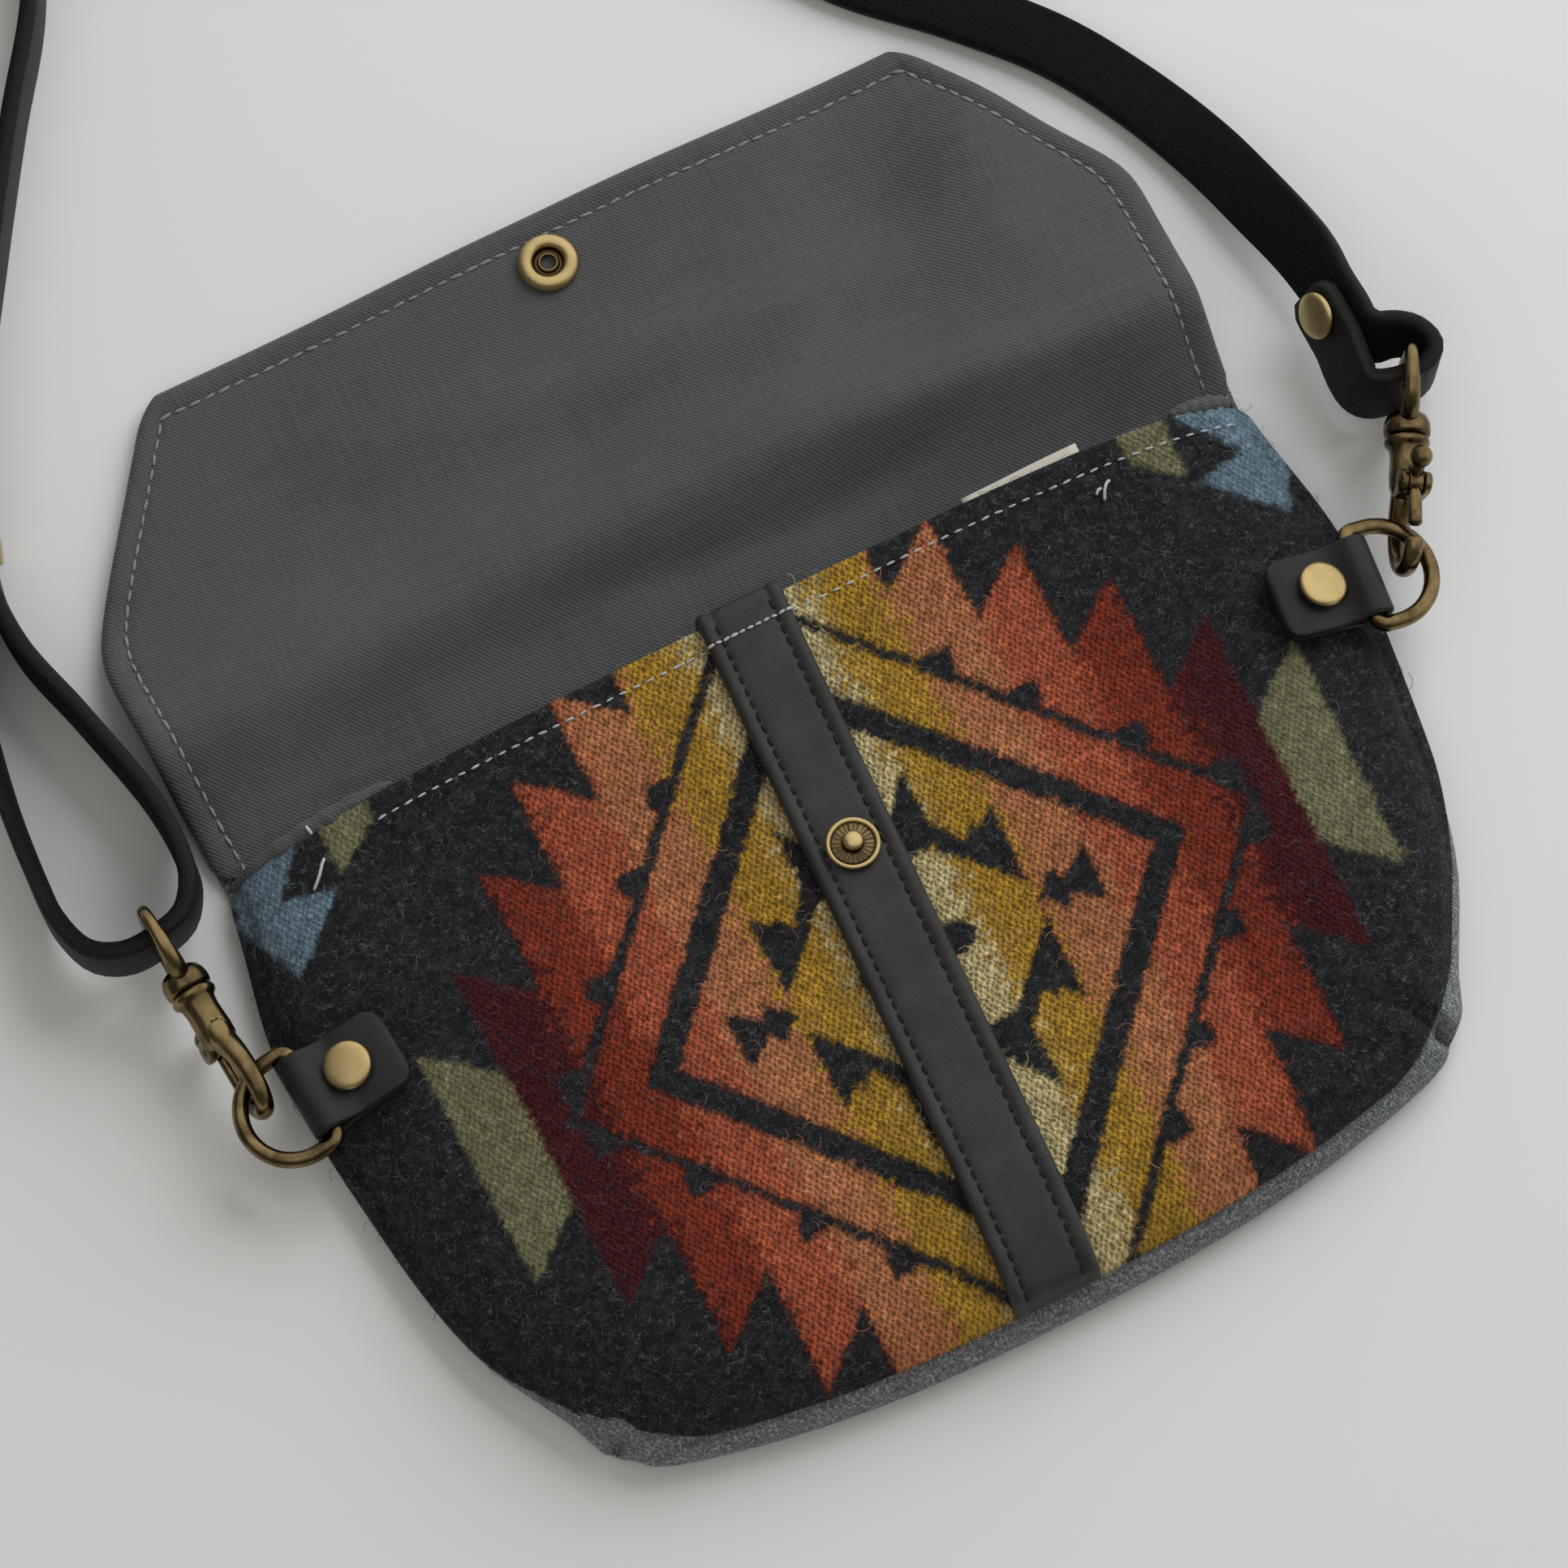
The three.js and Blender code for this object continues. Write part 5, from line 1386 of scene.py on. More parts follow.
fit(buildStrip(), "bag", "leather", "leather_strip")


# A place on the front, with the direction square to it
def standOn(x, y):
    step = 3.0
    dx = (frontAt(x + step, y) - frontAt(x - step, y)) / (2 * step)
    dy = (frontAt(x, y + step) - frontAt(x, y - step)) / (2 * step)
    return np.array([x, y, float(frontAt(x, y))]), unit([-float(dx), -float(dy), 1.0])


# Tabs, rivets and rings at the sides
tabCut = {
    "x": 96.8, "y": 4.4, "turn": 6.0, "width": 15.5, "thick": 1.7, "inner": 8.0, "bar": 9.0, "seat": 0.6,
    "corner": 3.2, "barClear": 0.5, "edge": 0.6,
}
ringCut = {"wire": 1.5, "half": 9.5, "leg": 4.2, "drop": 9.0, "corner": 2.0, "sides": 18}
rivetCut = {
    "radius": 4.5, "shank": 1.5, "depth": 4.6,
    # Turned shapes: radius, height
    "cap": [
        (4.2, 0.0), (4.45, 0.25), (4.5, 0.55), (4.38, 0.95), (4.1, 1.22), (3.6, 1.42), (2.8, 1.56),
        (1.4, 1.66), (0, 1.7),
    ],
    "back": [
        (0, -0.1), (4.0, -0.1), (4.3, -0.25), (4.35, -0.6), (4.1, -0.9), (3.2, -1.0), (1.9, -0.85), (0, -0.8),
    ],
}


def rivetHead(name, place, axis, top, depth):
    shank = rivetCut["shank"]
    profile = [(0, -depth), (shank, -depth), (shank, top)] + [(r, top + h) for r, h in rivetCut["cap"]]
    return makeObject(name, lathe(profile, place, axis, 44), "brass")


def sideFrame(side):
    sign = -1 if side == "left" else 1
    turn = math.radians(tabCut["turn"])
    out = np.array([sign * math.cos(turn), -math.sin(turn), 0])
    across = np.cross(out, upAxis)
    x = sign * tabCut["x"]
    return out, across, np.array([x, tabCut["y"] + bagShape["skew"] * x, 0])


def tabUnder(side, p):
    out, across, rivet = sideFrame(side)
    spots = [rivet + out * p + across * k * tabCut["width"] for k in (-0.5, 0, 0.5)]
    return max(float(frontAt(s[0], s[1])) for s in spots)


def buildTab(side):
    out, across, rivet = sideFrame(side)
    half = tabCut["thick"] / 2
    bend = ringCut["wire"] + tabCut["barClear"] + half

    def middle(p):
        return tabUnder(side, p) + tabCut["seat"] + half

    barZ = middle(tabCut["bar"] - 2.8) + bend
    lower = [(p, middle(p)) for p in (-tabCut["inner"], -6, -4, -2, 0, 2.5, 5, 7)]
    arc = [
        (tabCut["bar"] + bend * math.cos(math.radians(a)), barZ + bend * math.sin(math.radians(a)))
        for a in range(-80, 101, 10)
    ]
    lift = tabCut["thick"] + bagShape["gap"]
    upperAt = (rivetCut["radius"] + 1.2, 3.2, 1, -1, -2, -4, -6, -tabCut["inner"])
    upper = [[p, middle(p) + lift] for p in upperAt]
    upper[0][1] += max(barZ + bend - upper[0][1], 0) * 0.55
    upper[1][1] += 0.2
    flat = np.array(lower + arc + [tuple(p) for p in upper])
    line = smoothLine(flat, 3)
    centres = rivet + line[:, :1] * out + line[:, 1:] * upAxis
    face = np.cross(across, tangents(centres))
    reach = reachAlong(centres)
    toEnd = np.minimum(reach, reach[-1] - reach)
    clip = np.clip(1 - toEnd / tabCut["corner"], 0, 1)
    wide = 1 - tabCut["corner"] / tabCut["width"] * 2 * (1 - np.sqrt(1 - clip ** 2))
    scale = np.stack([1 - 0.35 * np.clip(1 - toEnd / 0.5, 0, 1), wide], -1)
    section = roundedBar(tabCut["thick"], tabCut["width"], tabCut["edge"], 4)
    piece = makeObject(side + "Tab", sweep(centres, face, across, section, scale), "tab")
    return piece, rivet + out * tabCut["bar"] + upAxis * barZ


def ringLine():
    corner, half, leg = ringCut["corner"], ringCut["half"], ringCut["leg"]
    line = [(0.0, q) for q in np.linspace(-half + corner, half - corner, 9)]

    def arc(cx, cy, radius, start, stop, steps):
        for a in np.radians(np.linspace(start, stop, steps)):
            line.append((cx + math.cos(a) * radius, cy + math.sin(a) * radius))

    arc(corner, half - corner, corner, 175, 90, 7)
    arc(leg, 0, half, 88, -88, 40)
    arc(corner, corner - half, corner, 270, 185, 7)
    return np.array(line)


def buildRing(side, bar):
    out, across = sideFrame(side)[:2]
    drop = math.radians(ringCut["drop"])
    ringOut = out * math.cos(drop) - upAxis * math.sin(drop)
    plane = np.cross(ringOut, across)
    line = ringLine()
    centres = bar + line[:, :1] * ringOut + line[:, 1:] * across
    along = tangents(centres, True)
    section = ellipse(ringCut["wire"], ringCut["wire"], ringCut["sides"])
    shell = sweep(centres, np.cross(plane, along), plane, section, loop=True)
    return makeObject(side + "Ring", shell, "oldBrass")


for side in ("left", "right"):
    tab, bar = buildTab(side)
    fit(tab, "bag", "leather", side + "_tab")
    fit(buildRing(side, bar), side + "_ring", "antique_brass", side + "_d_ring")
    place, normal = standOn(*sideFrame(side)[2][:2])
    top = tabUnder(side, 0) - place[2] + tabCut["seat"] + 2 * tabCut["thick"] + 4 * bagShape["gap"]
    head = rivetHead(side + "TabRivet", place, normal, top, rivetCut["depth"])
    fit(head, "bag", "brass", side + "_tab_rivet")
print("strip and tabs ready")

# Snap: ribbed stud on the strip, domed socket on the flap
studCut = {"ribs": 24, "ribTall": 0.16, "ribsFrom": 2.3, "ribsTo": 3.75, "base": 2.2}
studSeat = stripCut["seat"] + studCut["base"] + bagShape["gap"]


def studRibs(radius, turn):
    inside = studCut["ribsFrom"] < radius < studCut["ribsTo"]
    return np.where(np.cos(turn * studCut["ribs"]) > 0, studCut["ribTall"], 0.0) * inside


def buildStud():
    place, normal = standOn(0.0, 0.0)
    base = place + normal * studSeat
    profile = [
        (0, -6.5), (1.5, -6.5), (1.5, 0), (4.7, 0), (4.95, 0.15), (5.0, 0.5), (4.95, 0.85), (4.7, 1.05),
        (4.35, 1.05), (4.1, 0.85), (3.9, 0.5), (3.7, 0.42), (3.2, 0.42), (2.6, 0.42), (2.35, 0.45),
        (2.0, 0.6), (1.75, 0.95), (1.72, 1.4), (1.85, 1.9), (1.82, 2.3), (1.5, 2.68), (0.9, 2.92), (0, 3.0),
    ]
    return makeObject("snapStud", lathe(profile, base, normal, 96, studRibs), "oldBrass", "brass")


def faceMiddles(piece):
    return np.array([p.center for p in piece.data.polygons]) * 1000 + snapPlace


def secondFinish(piece, chosen):
    piece.data.polygons.foreach_set("material_index", chosen.astype(np.int32))


# The stud is rubbed bright on its rim and on the top of its post
stud = fit(buildStud(), "bag", "antique_brass", "snap_stud")
studMiddle, studNormal = standOn(0.0, 0.0)
studFaces = faceMiddles(stud) - studMiddle
rise = studFaces @ studNormal - studSeat
reachOut = np.linalg.norm(np.cross(studFaces, studNormal), axis=1)
secondFinish(stud, ((rise > 0.5) & (reachOut > 4.2)) | ((rise > 1.7) & (reachOut < 1.9)))

socketY = float(flapPlace(0.0, flapCut["socketAt"]))
flapFace = float(flapLift(0.0, flapCut["socketAt"]))
flapFace += bagShape["canvas"] + bagShape["gap"] + bagShape["facing"]
socketShape = [
    (1.5, -1.4), (2.3, -1.4), (2.3, 0.3), (5.3, 0.3), (5.65, 0.45), (5.85, 0.8), (5.83, 1.25), (5.6, 1.75),
    (5.2, 2.2), (4.6, 2.45), (4.0, 2.5), (3.45, 2.3), (3.1, 1.95), (2.95, 1.5), (2.85, 0.45), (2.0, 0.45),
    (1.9, 0.6), (1.9, 1.35), (1.8, 1.5), (1.6, 1.5), (1.5, 1.4), (1.5, -1.4),
]
shell = lathe(socketShape, np.array([0, socketY, flapFace]), upAxis, 56)
socket = fit(makeObject("snapSocket", shell, "brass", "oldBrass"), "bag", "brass", "snap_socket")
socketFaces = faceMiddles(socket)
secondFinish(socket, np.hypot(socketFaces[:, 0], socketFaces[:, 1] - socketY) < 3.0)  # tarnished inside
capProfile = [(0, 0.02), (4.6, 0.02), (5.3, 0.2), (5.75, 0.6), (5.85, 1.0), (5.7, 1.6), (5.5, 2.0), (0, 2.0)]
shell = lathe(capProfile, np.array([0, socketY, 0]), upAxis, 56)
fit(makeObject("snapCap", shell, "brass"), "bag", "brass", "snap_cap")
print("snap ready")

# Swivel hooks: s runs from the eye's far end to the claw, w from the spine to the gate
hooks = {
    "left": {
        "far": (-119.649, 44.842, 11.853), "along": (0.118404, -0.992966, 0),
        "gate": (-0.223369, -0.026635, -0.97437),
    },
    "right": {
        "far": (135.033, 42.977, 11.395), "along": (-0.471012, -0.882127, 0),
        "gate": (0.198435, -0.105955, 0.97437),
    },
}
hookCut = {
    "eyeWire": 1.4, "eyeHalf": 8.3, "eyeDepth": 13.6, "eyeBend": 4.4,
    "pin": (4.0, 27.6), "cheek": 2.2, "knob": 2.1, "knobAt": (8.0, 24.0),
    # Turned shapes: radius, s
    "foot": [
        (0, 12.6), (2.6, 12.7), (3.7, 13.4), (4.25, 14.6), (4.4, 15.8), (4.3, 16.8), (4.0, 17.3), (1.6, 17.3),
        (1.6, 24.2), (0, 24.2),
    ],
    "barrel": [
        (0, 24.6), (1.9, 24.6), (1.9, 17.6), (3.7, 17.6), (4.1, 17.9), (4.25, 18.4), (4.1, 19.0), (3.6, 19.4),
        (3.3, 20.0), (3.15, 21.5), (3.2, 23.5), (3.3, 25.5), (3.2, 27.5), (2.7, 28.8), (1.6, 29.5), (0, 29.8),
    ],
    # Turned about the gate's pin: radius, place along the pin
    "pinShape": [(0, -3.1), (0.6, -3.1), (0.8, -2.95), (0.8, 2.95), (0.6, 3.1), (0, 3.1)],
    "hub": [(0.95, -1.4), (1.75, -1.4), (1.9, -1.25), (1.9, 1.25), (1.75, 1.4), (0.95, 1.4), (0.95, -1.4)],
    # Bent shapes: w, s
    "claw": [
        (-1, 25), (-1.6, 28.5), (-3.4, 31.5), (-4.7, 34.6), (-5, 37.6), (-4.1, 40.4), (-2.2, 42.3), (0, 42.9),
        (2.2, 42.3), (4.1, 40.4), (4.9, 38.4),
    ],
    "arm": [(4.4, 29.0), (4.6, 32), (4.8, 34.4), (4.9, 36.2)],
    "thumb": [(4.9, 26.7), (6.2, 25.8), (7.6, 24.4)],
}


def wireSweep(frameOf, line, radii, sides=16, loop=False, flat=1.0):
    line = np.asarray(line, float)
    centres, across = frameOf(line)
    side = unit(np.cross(across, tangents(centres, loop)))
    scale = np.broadcast_to(radii, len(line))[:, None] * np.ones(2)
    return sweep(centres, side, across, ellipse(1.0, flat, sides), scale, loop)


def buildHook(side):
    far, along, gate = (np.array(hooks[side][k], float) for k in ("far", "along", "gate"))

    def eyeFrame(line):
        return far + line[:, :1] * upAxis + line[:, 1:2] * along, np.cross(upAxis, along)

    def hookFrame(line):
        return far + line[:, :1] * gate + line[:, 1:2] * along, np.cross(gate, along)

    def addBrass(name, shell, body, node):
        fit(makeObject(side + name, shell, "oldBrass"), side + body, "antique_brass", side + node)

    half, wire, deep, bend = (hookCut[k] for k in ("eyeHalf", "eyeWire", "eyeDepth", "eyeBend"))
    loop = [(half, deep - 5)]
    for a in np.radians(np.linspace(0, -90, 8)):
        loop.append((half - bend + math.cos(a) * bend, wire + bend + math.sin(a) * bend))
    for a in np.radians(np.linspace(270, 180, 8)):
        loop.append((bend - half + math.cos(a) * bend, wire + bend + math.sin(a) * bend))
    loop += [(-half, deep - 5), (-half + 0.7, deep - 3), (-half + 2.4, deep - 1), (-4.2, deep + 0.2)]
    loop += [(-1.6, deep + 0.8), (1.6, deep + 0.8), (4.2, deep + 0.2)]
    loop += [(half - 2.4, deep - 1), (half - 0.7, deep - 3)]
    loop = np.array(loop)
    radii = 1.25 + 0.5 * ease((loop[:, 1] - 4) / 10)
    eye = wireSweep(eyeFrame, loop, radii, 16, True)
    addBrass("SwivelEye", joined(eye, lathe(hookCut["foot"], far, along, 32)), "_ring", "_swivel_eye")

    claw = smoothLine(hookCut["claw"], 4)
    share = np.linspace(0, 1, len(claw))
    radii = 2.3 - 0.75 * ease(share / 0.45)
    radii = radii * np.sqrt(np.clip((1.02 - share) / 0.05, 0.1, 1))
    spine = wireSweep(hookFrame, claw, radii, 16, False, 1.12)
    pinW, pinS = hookCut["pin"]
    cheek = hookCut["cheek"]
    cheeks = []
    for sign in (-1, 1):
        turns = np.radians(np.arange(-90, 91, 15))
        outline = [(pinW + cheek * math.cos(a), pinS + cheek * math.sin(a)) for a in turns]
        outline += [(1.0, pinS + cheek), (1.0, pinS - cheek)]
        centres, across = hookFrame(np.array(outline))
        levels = [(1.72, 1.0), (1.9, 1.0), (2.7, 1.0), (2.88, 0.93)]
        hub = centres.mean(0)
        rows = [hub + (centres - hub) * shrink + across * sign * out for out, shrink in levels]
        n = len(outline)
        cheekFaces = [
            [r * n + i, r * n + (i + 1) % n, (r + 1) * n + (i + 1) % n, (r + 1) * n + i]
            for r in range(len(levels) - 1) for i in range(n)
        ]
        cheekFaces += [list(range(n)), list(range(3 * n, 4 * n))]
        cheeks.append((np.concatenate(rows), cheekFaces))
    barrel = lathe(hookCut["barrel"], far, along, 32)
    addBrass("HookBody", joined(barrel, spine, *cheeks), "_hook", "_hook_body")

    centre, across = hookFrame(np.array([[pinW, pinS]]))
    addBrass("GatePin", lathe(hookCut["pinShape"], centre[0], across, 20), "_hook", "_gate_pin")

    hub = lathe(hookCut["hub"], centre[0], across, 28)
    arm = smoothLine(hookCut["arm"], 4)
    armRadius = np.full(len(arm), 1.1)
    armRadius[-1] = 0.8
    gateArm = wireSweep(hookFrame, arm, armRadius, 14, False, 1.2)
    thumbArm = wireSweep(hookFrame, smoothLine(hookCut["thumb"], 4), 0.95, 14, False, 1.2)
    knobAt = hookFrame(np.array([hookCut["knobAt"]]))[0][0]
    radius = hookCut["knob"]
    ball = [(radius * math.sin(a), -radius * math.cos(a)) for a in np.linspace(0, math.pi, 13)]
    knob = lathe(ball, knobAt, across, 24)
    addBrass("GateLever", joined(hub, gateArm, thumbArm, knob), "_gate", "_gate_lever")


for side in hooks:
    buildHook(side)

# Rivets that close the strap's ends, square to the strap's own face
strapRivets = {
    "right": {"at": (126.3, 55.977, 11.395), "body": "right_ring", "stations": slice(0, 14)},
    "left": {"at": (-119.1, 124.5, 6.55), "body": "bag", "stations": slice(-14, None)},
}
rivetSeat = strapCut["thick"] + 0.25
strapCaps, strapBacks = {}, {}
for side, rivet in strapRivets.items():
    place = np.array(rivet["at"])
    away = np.linalg.norm(strapLine[rivet["stations"]] - place, axis=1)
    axis = strapFace[rivet["stations"]][np.argmin(away)]
    head = rivetHead(side + "StrapRivet", place, axis, rivetSeat, rivetSeat + 0.6)
    strapCaps[side] = fit(head, rivet["body"], "brass", side + "_strap_rivet")
    shell = lathe([(r, h - rivetSeat) for r, h in rivetCut["back"]], place, axis, 36)
    back = makeObject(side + "StrapRivetBack", shell, "brass")
    strapBacks[side] = fit(back, rivet["body"], "brass", side + "_strap_rivet_back")
print("hooks ready")

# CAD pieces that stay as they are, behind other pieces
for node in ("snap_stud_eyelet", "left_tab_rivet_back", "right_tab_rivet_back"):
    finish = mats["oldBrass"] if node == "snap_stud_eyelet" else mats["brass"]
    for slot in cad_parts[node].material_slots:
        slot.material = finish


# Geometry Nodes: small trees with named inputs, turned into plain meshes
def newTree(name, inputs):
    tree = bpy.data.node_groups.new(name, "GeometryNodeTree")
    tree.interface.new_socket("Geometry", in_out="INPUT", socket_type="NodeSocketGeometry")
    for label, kind in inputs:
        tree.interface.new_socket(label, in_out="INPUT", socket_type=kind)
    tree.interface.new_socket("Geometry", in_out="OUTPUT", socket_type="NodeSocketGeometry")
    return tree, tree.nodes.new("NodeGroupInput").outputs, tree.nodes.new("NodeGroupOutput")


def randomValue(tree, kind, low, high, seed, shift):
    node = addNode(tree, "FunctionNodeRandomValue", {"data_type": kind})
    first = 0 if kind == "FLOAT_VECTOR" else 2
    node.inputs[first].default_value = low
    node.inputs[first + 1].default_value = high
    step = addNode(tree, "ShaderNodeMath", {"operation": "ADD"}, i0=seed, i1=float(shift))
    tree.links.new(step.outputs[0], node.inputs["Seed"])
    return node.outputs[0] if kind == "FLOAT_VECTOR" else node.outputs[1]


def finishTree(tree, instances, material, out):
    real = addNode(tree, "GeometryNodeRealizeInstances", Geometry=instances)
    done = addNode(tree, "GeometryNodeSetMaterial", Geometry=real.outputs[0], Material=material)
    tree.links.new(done.outputs[0], out.inputs[0])
    return tree


def stitchRunTree():
    tree, given, out = newTree("stitchRun", [
        ("Pitch", "NodeSocketFloat"), ("Length", "NodeSocketFloat"), ("Thickness", "NodeSocketFloat"),
        ("Seed", "NodeSocketInt"), ("Thread", "NodeSocketMaterial"),
    ])
    line = addNode(tree, "GeometryNodeMeshToCurve", Mesh=given["Geometry"])
    spots = addNode(
        tree, "GeometryNodeCurveToPoints", {"mode": "LENGTH"}, Curve=line.outputs[0], Length=given["Pitch"]
    )
    tangent = spots.outputs["Tangent"]
    heading = addNode(tree, "FunctionNodeAlignRotationToVector", {"axis": "Z"}, Vector=tangent)
    bead = addNode(tree, "GeometryNodeMeshUVSphere", Segments=8, Rings=5, Radius=0.5)
    smooth = addNode(tree, "GeometryNodeSetShadeSmooth", Geometry=bead.outputs[0])
    thick = given["Thickness"]
    size = addNode(tree, "ShaderNodeCombineXYZ", i0=thick, i1=thick, i2=given["Length"])
    vary = randomValue(tree, "FLOAT", 0.86, 1.1, given["Seed"], 0)
    sized = addNode(tree, "ShaderNodeVectorMath", {"operation": "SCALE"}, i0=size.outputs[0], Scale=vary)
    placed = addNode(
        tree, "GeometryNodeInstanceOnPoints", Points=spots.outputs[0], Instance=smooth.outputs[0],
        Rotation=heading.outputs[0], Scale=sized.outputs[0],
    )
    sway = randomValue(tree, "FLOAT_VECTOR", (-0.12, -0.12, 0), (0.12, 0.12, 0), given["Seed"], 3)
    turned = addNode(tree, "GeometryNodeRotateInstances", Instances=placed.outputs[0], Rotation=sway)
    return finishTree(tree, turned.outputs[0], given["Thread"], out)


def fibreTree():
    tree, given, out = newTree("looseFibres", [
        ("Density", "NodeSocketFloat"), ("Curl", "NodeSocketFloat"), ("Thickness", "NodeSocketFloat"),
        ("Seed", "NodeSocketInt"), ("Wool", "NodeSocketMaterial"),
    ])
    normal = addNode(tree, "GeometryNodeInputNormal")
    upward = addNode(tree, "ShaderNodeSeparateXYZ", i0=normal.outputs[0]).outputs[2]
    outside = addNode(
        tree, "FunctionNodeCompare", {"data_type": "FLOAT", "operation": "GREATER_THAN"}, i0=upward, i1=0.15
    )
    spots = addNode(
        tree, "GeometryNodeDistributePointsOnFaces", Mesh=given["Geometry"],
        Selection=outside.outputs[0], Density=given["Density"], Seed=given["Seed"],
    )
    arc = addNode(tree, "GeometryNodeCurveArc", Resolution=4, Radius=given["Curl"])
    arc.inputs["Sweep Angle"].default_value = 2.3
    hair = addNode(tree, "GeometryNodeCurvePrimitiveCircle", Resolution=3, Radius=given["Thickness"])
    tube = addNode(tree, "GeometryNodeCurveToMesh", Curve=arc.outputs[0], i1=hair.outputs[0])
    tube.inputs["Fill Caps"].default_value = True
    back = addNode(tree, "ShaderNodeMath", {"operation": "MULTIPLY"}, i0=given["Curl"], i1=-1.0)
    shift = addNode(tree, "ShaderNodeCombineXYZ", i0=back.outputs[0])
    tube = addNode(
        tree, "GeometryNodeTransform", Geometry=tube.outputs[0], Translation=shift.outputs[0]
    )
    placed = addNode(
        tree, "GeometryNodeInstanceOnPoints", Points=spots.outputs["Points"], Instance=tube.outputs[0],
        Rotation=spots.outputs["Rotation"], Scale=randomValue(tree, "FLOAT", 0.5, 1.7, given["Seed"], 1),
    )
    sway = randomValue(tree, "FLOAT_VECTOR", (-0.25, -0.25, 0), (0.75, 0.25, 6.28), given["Seed"], 2)
    turned = addNode(tree, "GeometryNodeRotateInstances", Instances=placed.outputs[0], Rotation=sway)
    return finishTree(tree, turned.outputs[0], given["Wool"], out)


def grow(name, mesh, tree, values):
    source = bpy.data.objects.new(name + "Source", mesh)
    scene.collection.objects.link(source)
    modifier = source.modifiers.new("grow", "NODES")
    modifier.node_group = tree
    for item in tree.interface.items_tree:
        if item.in_out == "INPUT" and item.name in values:
            modifier[item.identifier] = values[item.name]
    graph = bpy.context.evaluated_depsgraph_get()
    done = bpy.data.meshes.new_from_object(
        source.evaluated_get(graph), preserve_all_data_layers=True, depsgraph=graph
    )
    source.modifiers.remove(modifier)
    bpy.data.objects.remove(source)
    done.name = name
    piece = bpy.data.objects.new(name, done)
    scene.collection.objects.link(piece)
    return piece


def lineMesh(name, lines):
    points, edges = [], []
    for line in lines:
        start = len(points)
        points += toMetres(line).tolist()
        edges += [(start + i, start + i + 1) for i in range(len(line) - 1)]
    mesh = bpy.data.meshes.new(name)
    mesh.from_pydata(points, edges, [])
    return mesh


stitches = {
    "flapStitches": {"pitch": 3.0, "length": 2.5, "thick": 0.66, "thread": "paleThread", "slot": "canvas"},
    "hemStitches": {"pitch": 2.7, "length": 1.75, "thick": 0.5, "thread": "whiteThread", "slot": "canvas"},
    "crossStitches": {
        "pitch": 1.6, "length": 1.45, "thick": 0.62, "thread": "whiteThread", "slot": "leather",
    },
    "stripStitches": {"pitch": 2.6, "length": 2.1, "thick": 0.8, "thread": "blackThread", "slot": "leather"},
    "hemBelow": 4.3, "crossBelow": 4.4, "firstSeed": 11,
}


def flapStitchLine():
    inset = flapCut["stitchIn"]
    last = flapCut["length"] - inset
    up = np.concatenate([np.arange(3, last, 1.5), [last]])
    side = flapHalf(up) - inset
    across = np.linspace(-side[-1], side[-1], 110)[1:-1]
    x = np.concatenate([-side, across, side[::-1]])
    r = np.concatenate([up, np.full(len(across), last), up[::-1]])
    return np.stack([x, flapPlace(x, r), facingTop(x, r) + 0.12], -1)


def hemLine(start, stop):
    u = np.linspace(start, stop, 60)
    x = u * float(halfAt(0.97))
    y = mouthAt(u) + bagShape["skew"] * x - stitches["hemBelow"]
    return np.stack([x, y, softFront(x, y) + 0.2], -1)


def stripLines():
    shares = (stripCut["width"] / 2 - stripCut["stitchIn"]) / stripCut["width"]
    rows = np.arange(stripCut["start"] + stripCut["step"], bagShape["mouthY"] - 0.8, 1.5)
    return [np.array([stripTopAt(y, k) for y in rows]) + [0, 0, 0.08] for k in (-shares, shares)]


def crossLine():
    y = bagShape["mouthY"] - stitches["crossBelow"]
    return np.array([stripTopAt(y, k) for k in np.linspace(-0.47, 0.47, 30)]) + [0, 0, 0.2]


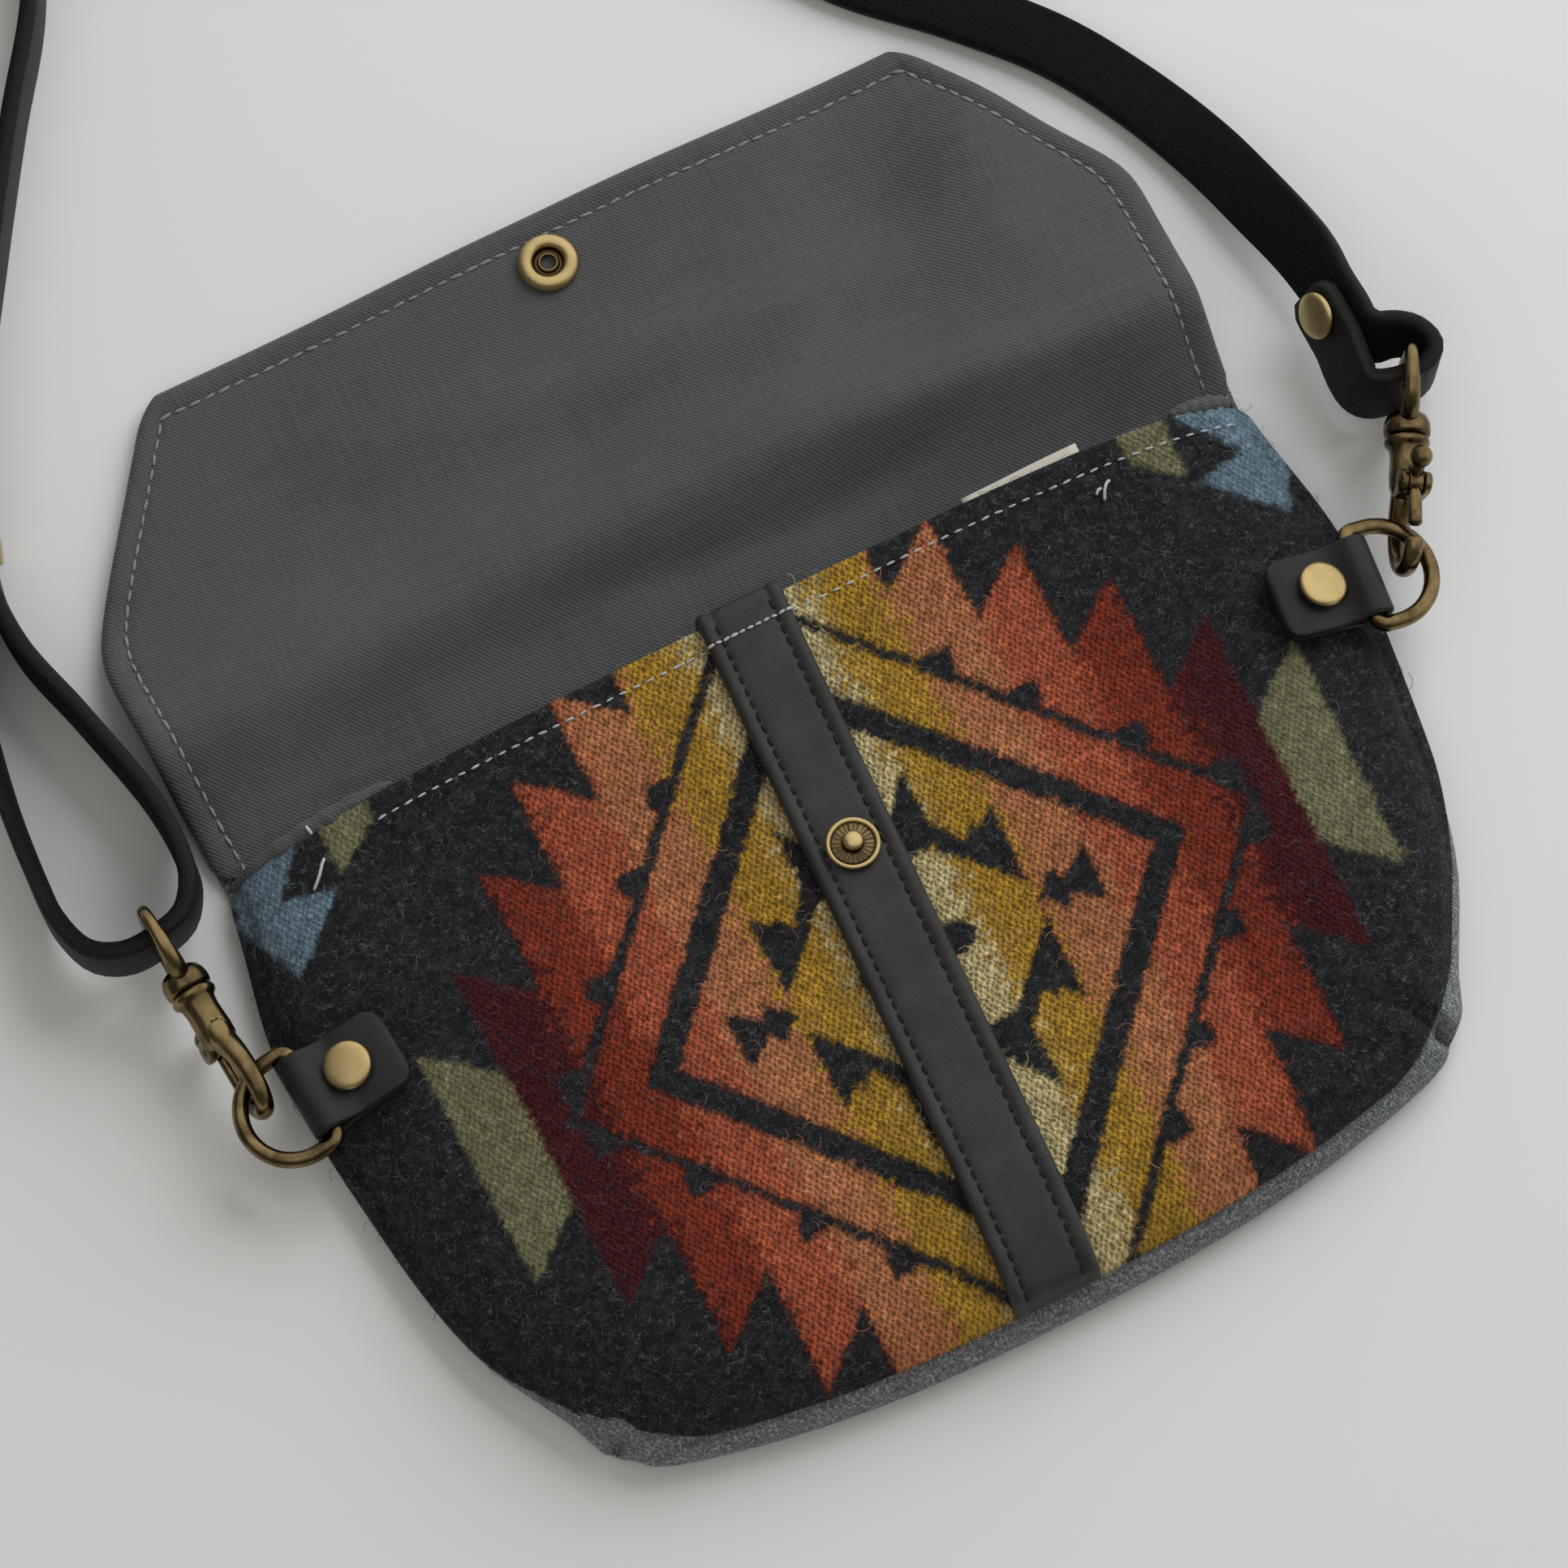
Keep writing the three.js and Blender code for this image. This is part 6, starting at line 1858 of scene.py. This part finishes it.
stitchTree = stitchRunTree()
stitchRuns = {
    "flapStitches": [flapStitchLine()],
    "hemStitches": [hemLine(-0.7, -0.075), hemLine(0.105, 0.95)],
    "crossStitches": [crossLine()],
    "stripStitches": stripLines(),
}
for number, (name, lines) in enumerate(stitchRuns.items()):
    cut = stitches[name]
    piece = grow(name, lineMesh(name, lines), stitchTree, {
        "Pitch": cut["pitch"] / 1000, "Length": cut["length"] / 1000, "Thickness": cut["thick"] / 1000,
        "Seed": stitches["firstSeed"] + number, "Thread": mats[cut["thread"]],
    })
    fit(piece, "bag", cut["slot"])

# Cut ends of the hem thread
threadEnds = {
    "thickness": 0.3,
    "lines": [
        [(73.9, 44.2, 0.3), (72.9, 43.6, 1.1), (72.0, 42.5, 1.0), (71.3, 41.0, 0.4)],
        [(70.4, 42.6, 0.3), (71.0, 43.2, 0.6), (71.9, 43.4, 0.3)],
        [(-85.9, 40.6, 0.3), (-86.9, 39.4, 1.0), (-88.2, 37.7, 1.1), (-90.1, 35.9, 0.4)],
        [(-86.5, 47.4, 0.6), (-86.4, 46.5, 1.2), (-86.1, 45.5, 0.8)],
    ],
}


def buildThreadEnds():
    shells = []
    for spots in threadEnds["lines"]:
        line = smoothLine(np.array([(x, y, float(softFront(x, y)) + h) for x, y, h in spots]), 5)
        along = tangents(line)
        side = unit(np.cross(along, upAxis))
        taper = np.full(len(line), 1.0)
        taper[[0, -1]] = 0.6
        section = ellipse(threadEnds["thickness"], threadEnds["thickness"], 8)
        shells.append(sweep(line, side, np.cross(side, along), section, taper[:, None] * np.ones(2)))
    return makeObject("threadEnds", joined(*shells), "whiteThread")


fit(buildThreadEnds(), "bag", "canvas")
print("stitches ready")

# Loose wool fibres that stand on the front
fibres = {"density": 0.27, "curl": 1.1, "thickness": 0.034, "seed": 5}
fibrePiece = grow("woolFibres", woolPiece.data.copy(), fibreTree(), {
    "Density": fibres["density"] * 1e6, "Curl": fibres["curl"] / 1000,
    "Thickness": fibres["thickness"] / 1000, "Seed": fibres["seed"], "Wool": mats["fibre"],
})
fit(fibrePiece, "bag", "kilim_wool")
print("fibres", len(fibrePiece.data.polygons), "faces")
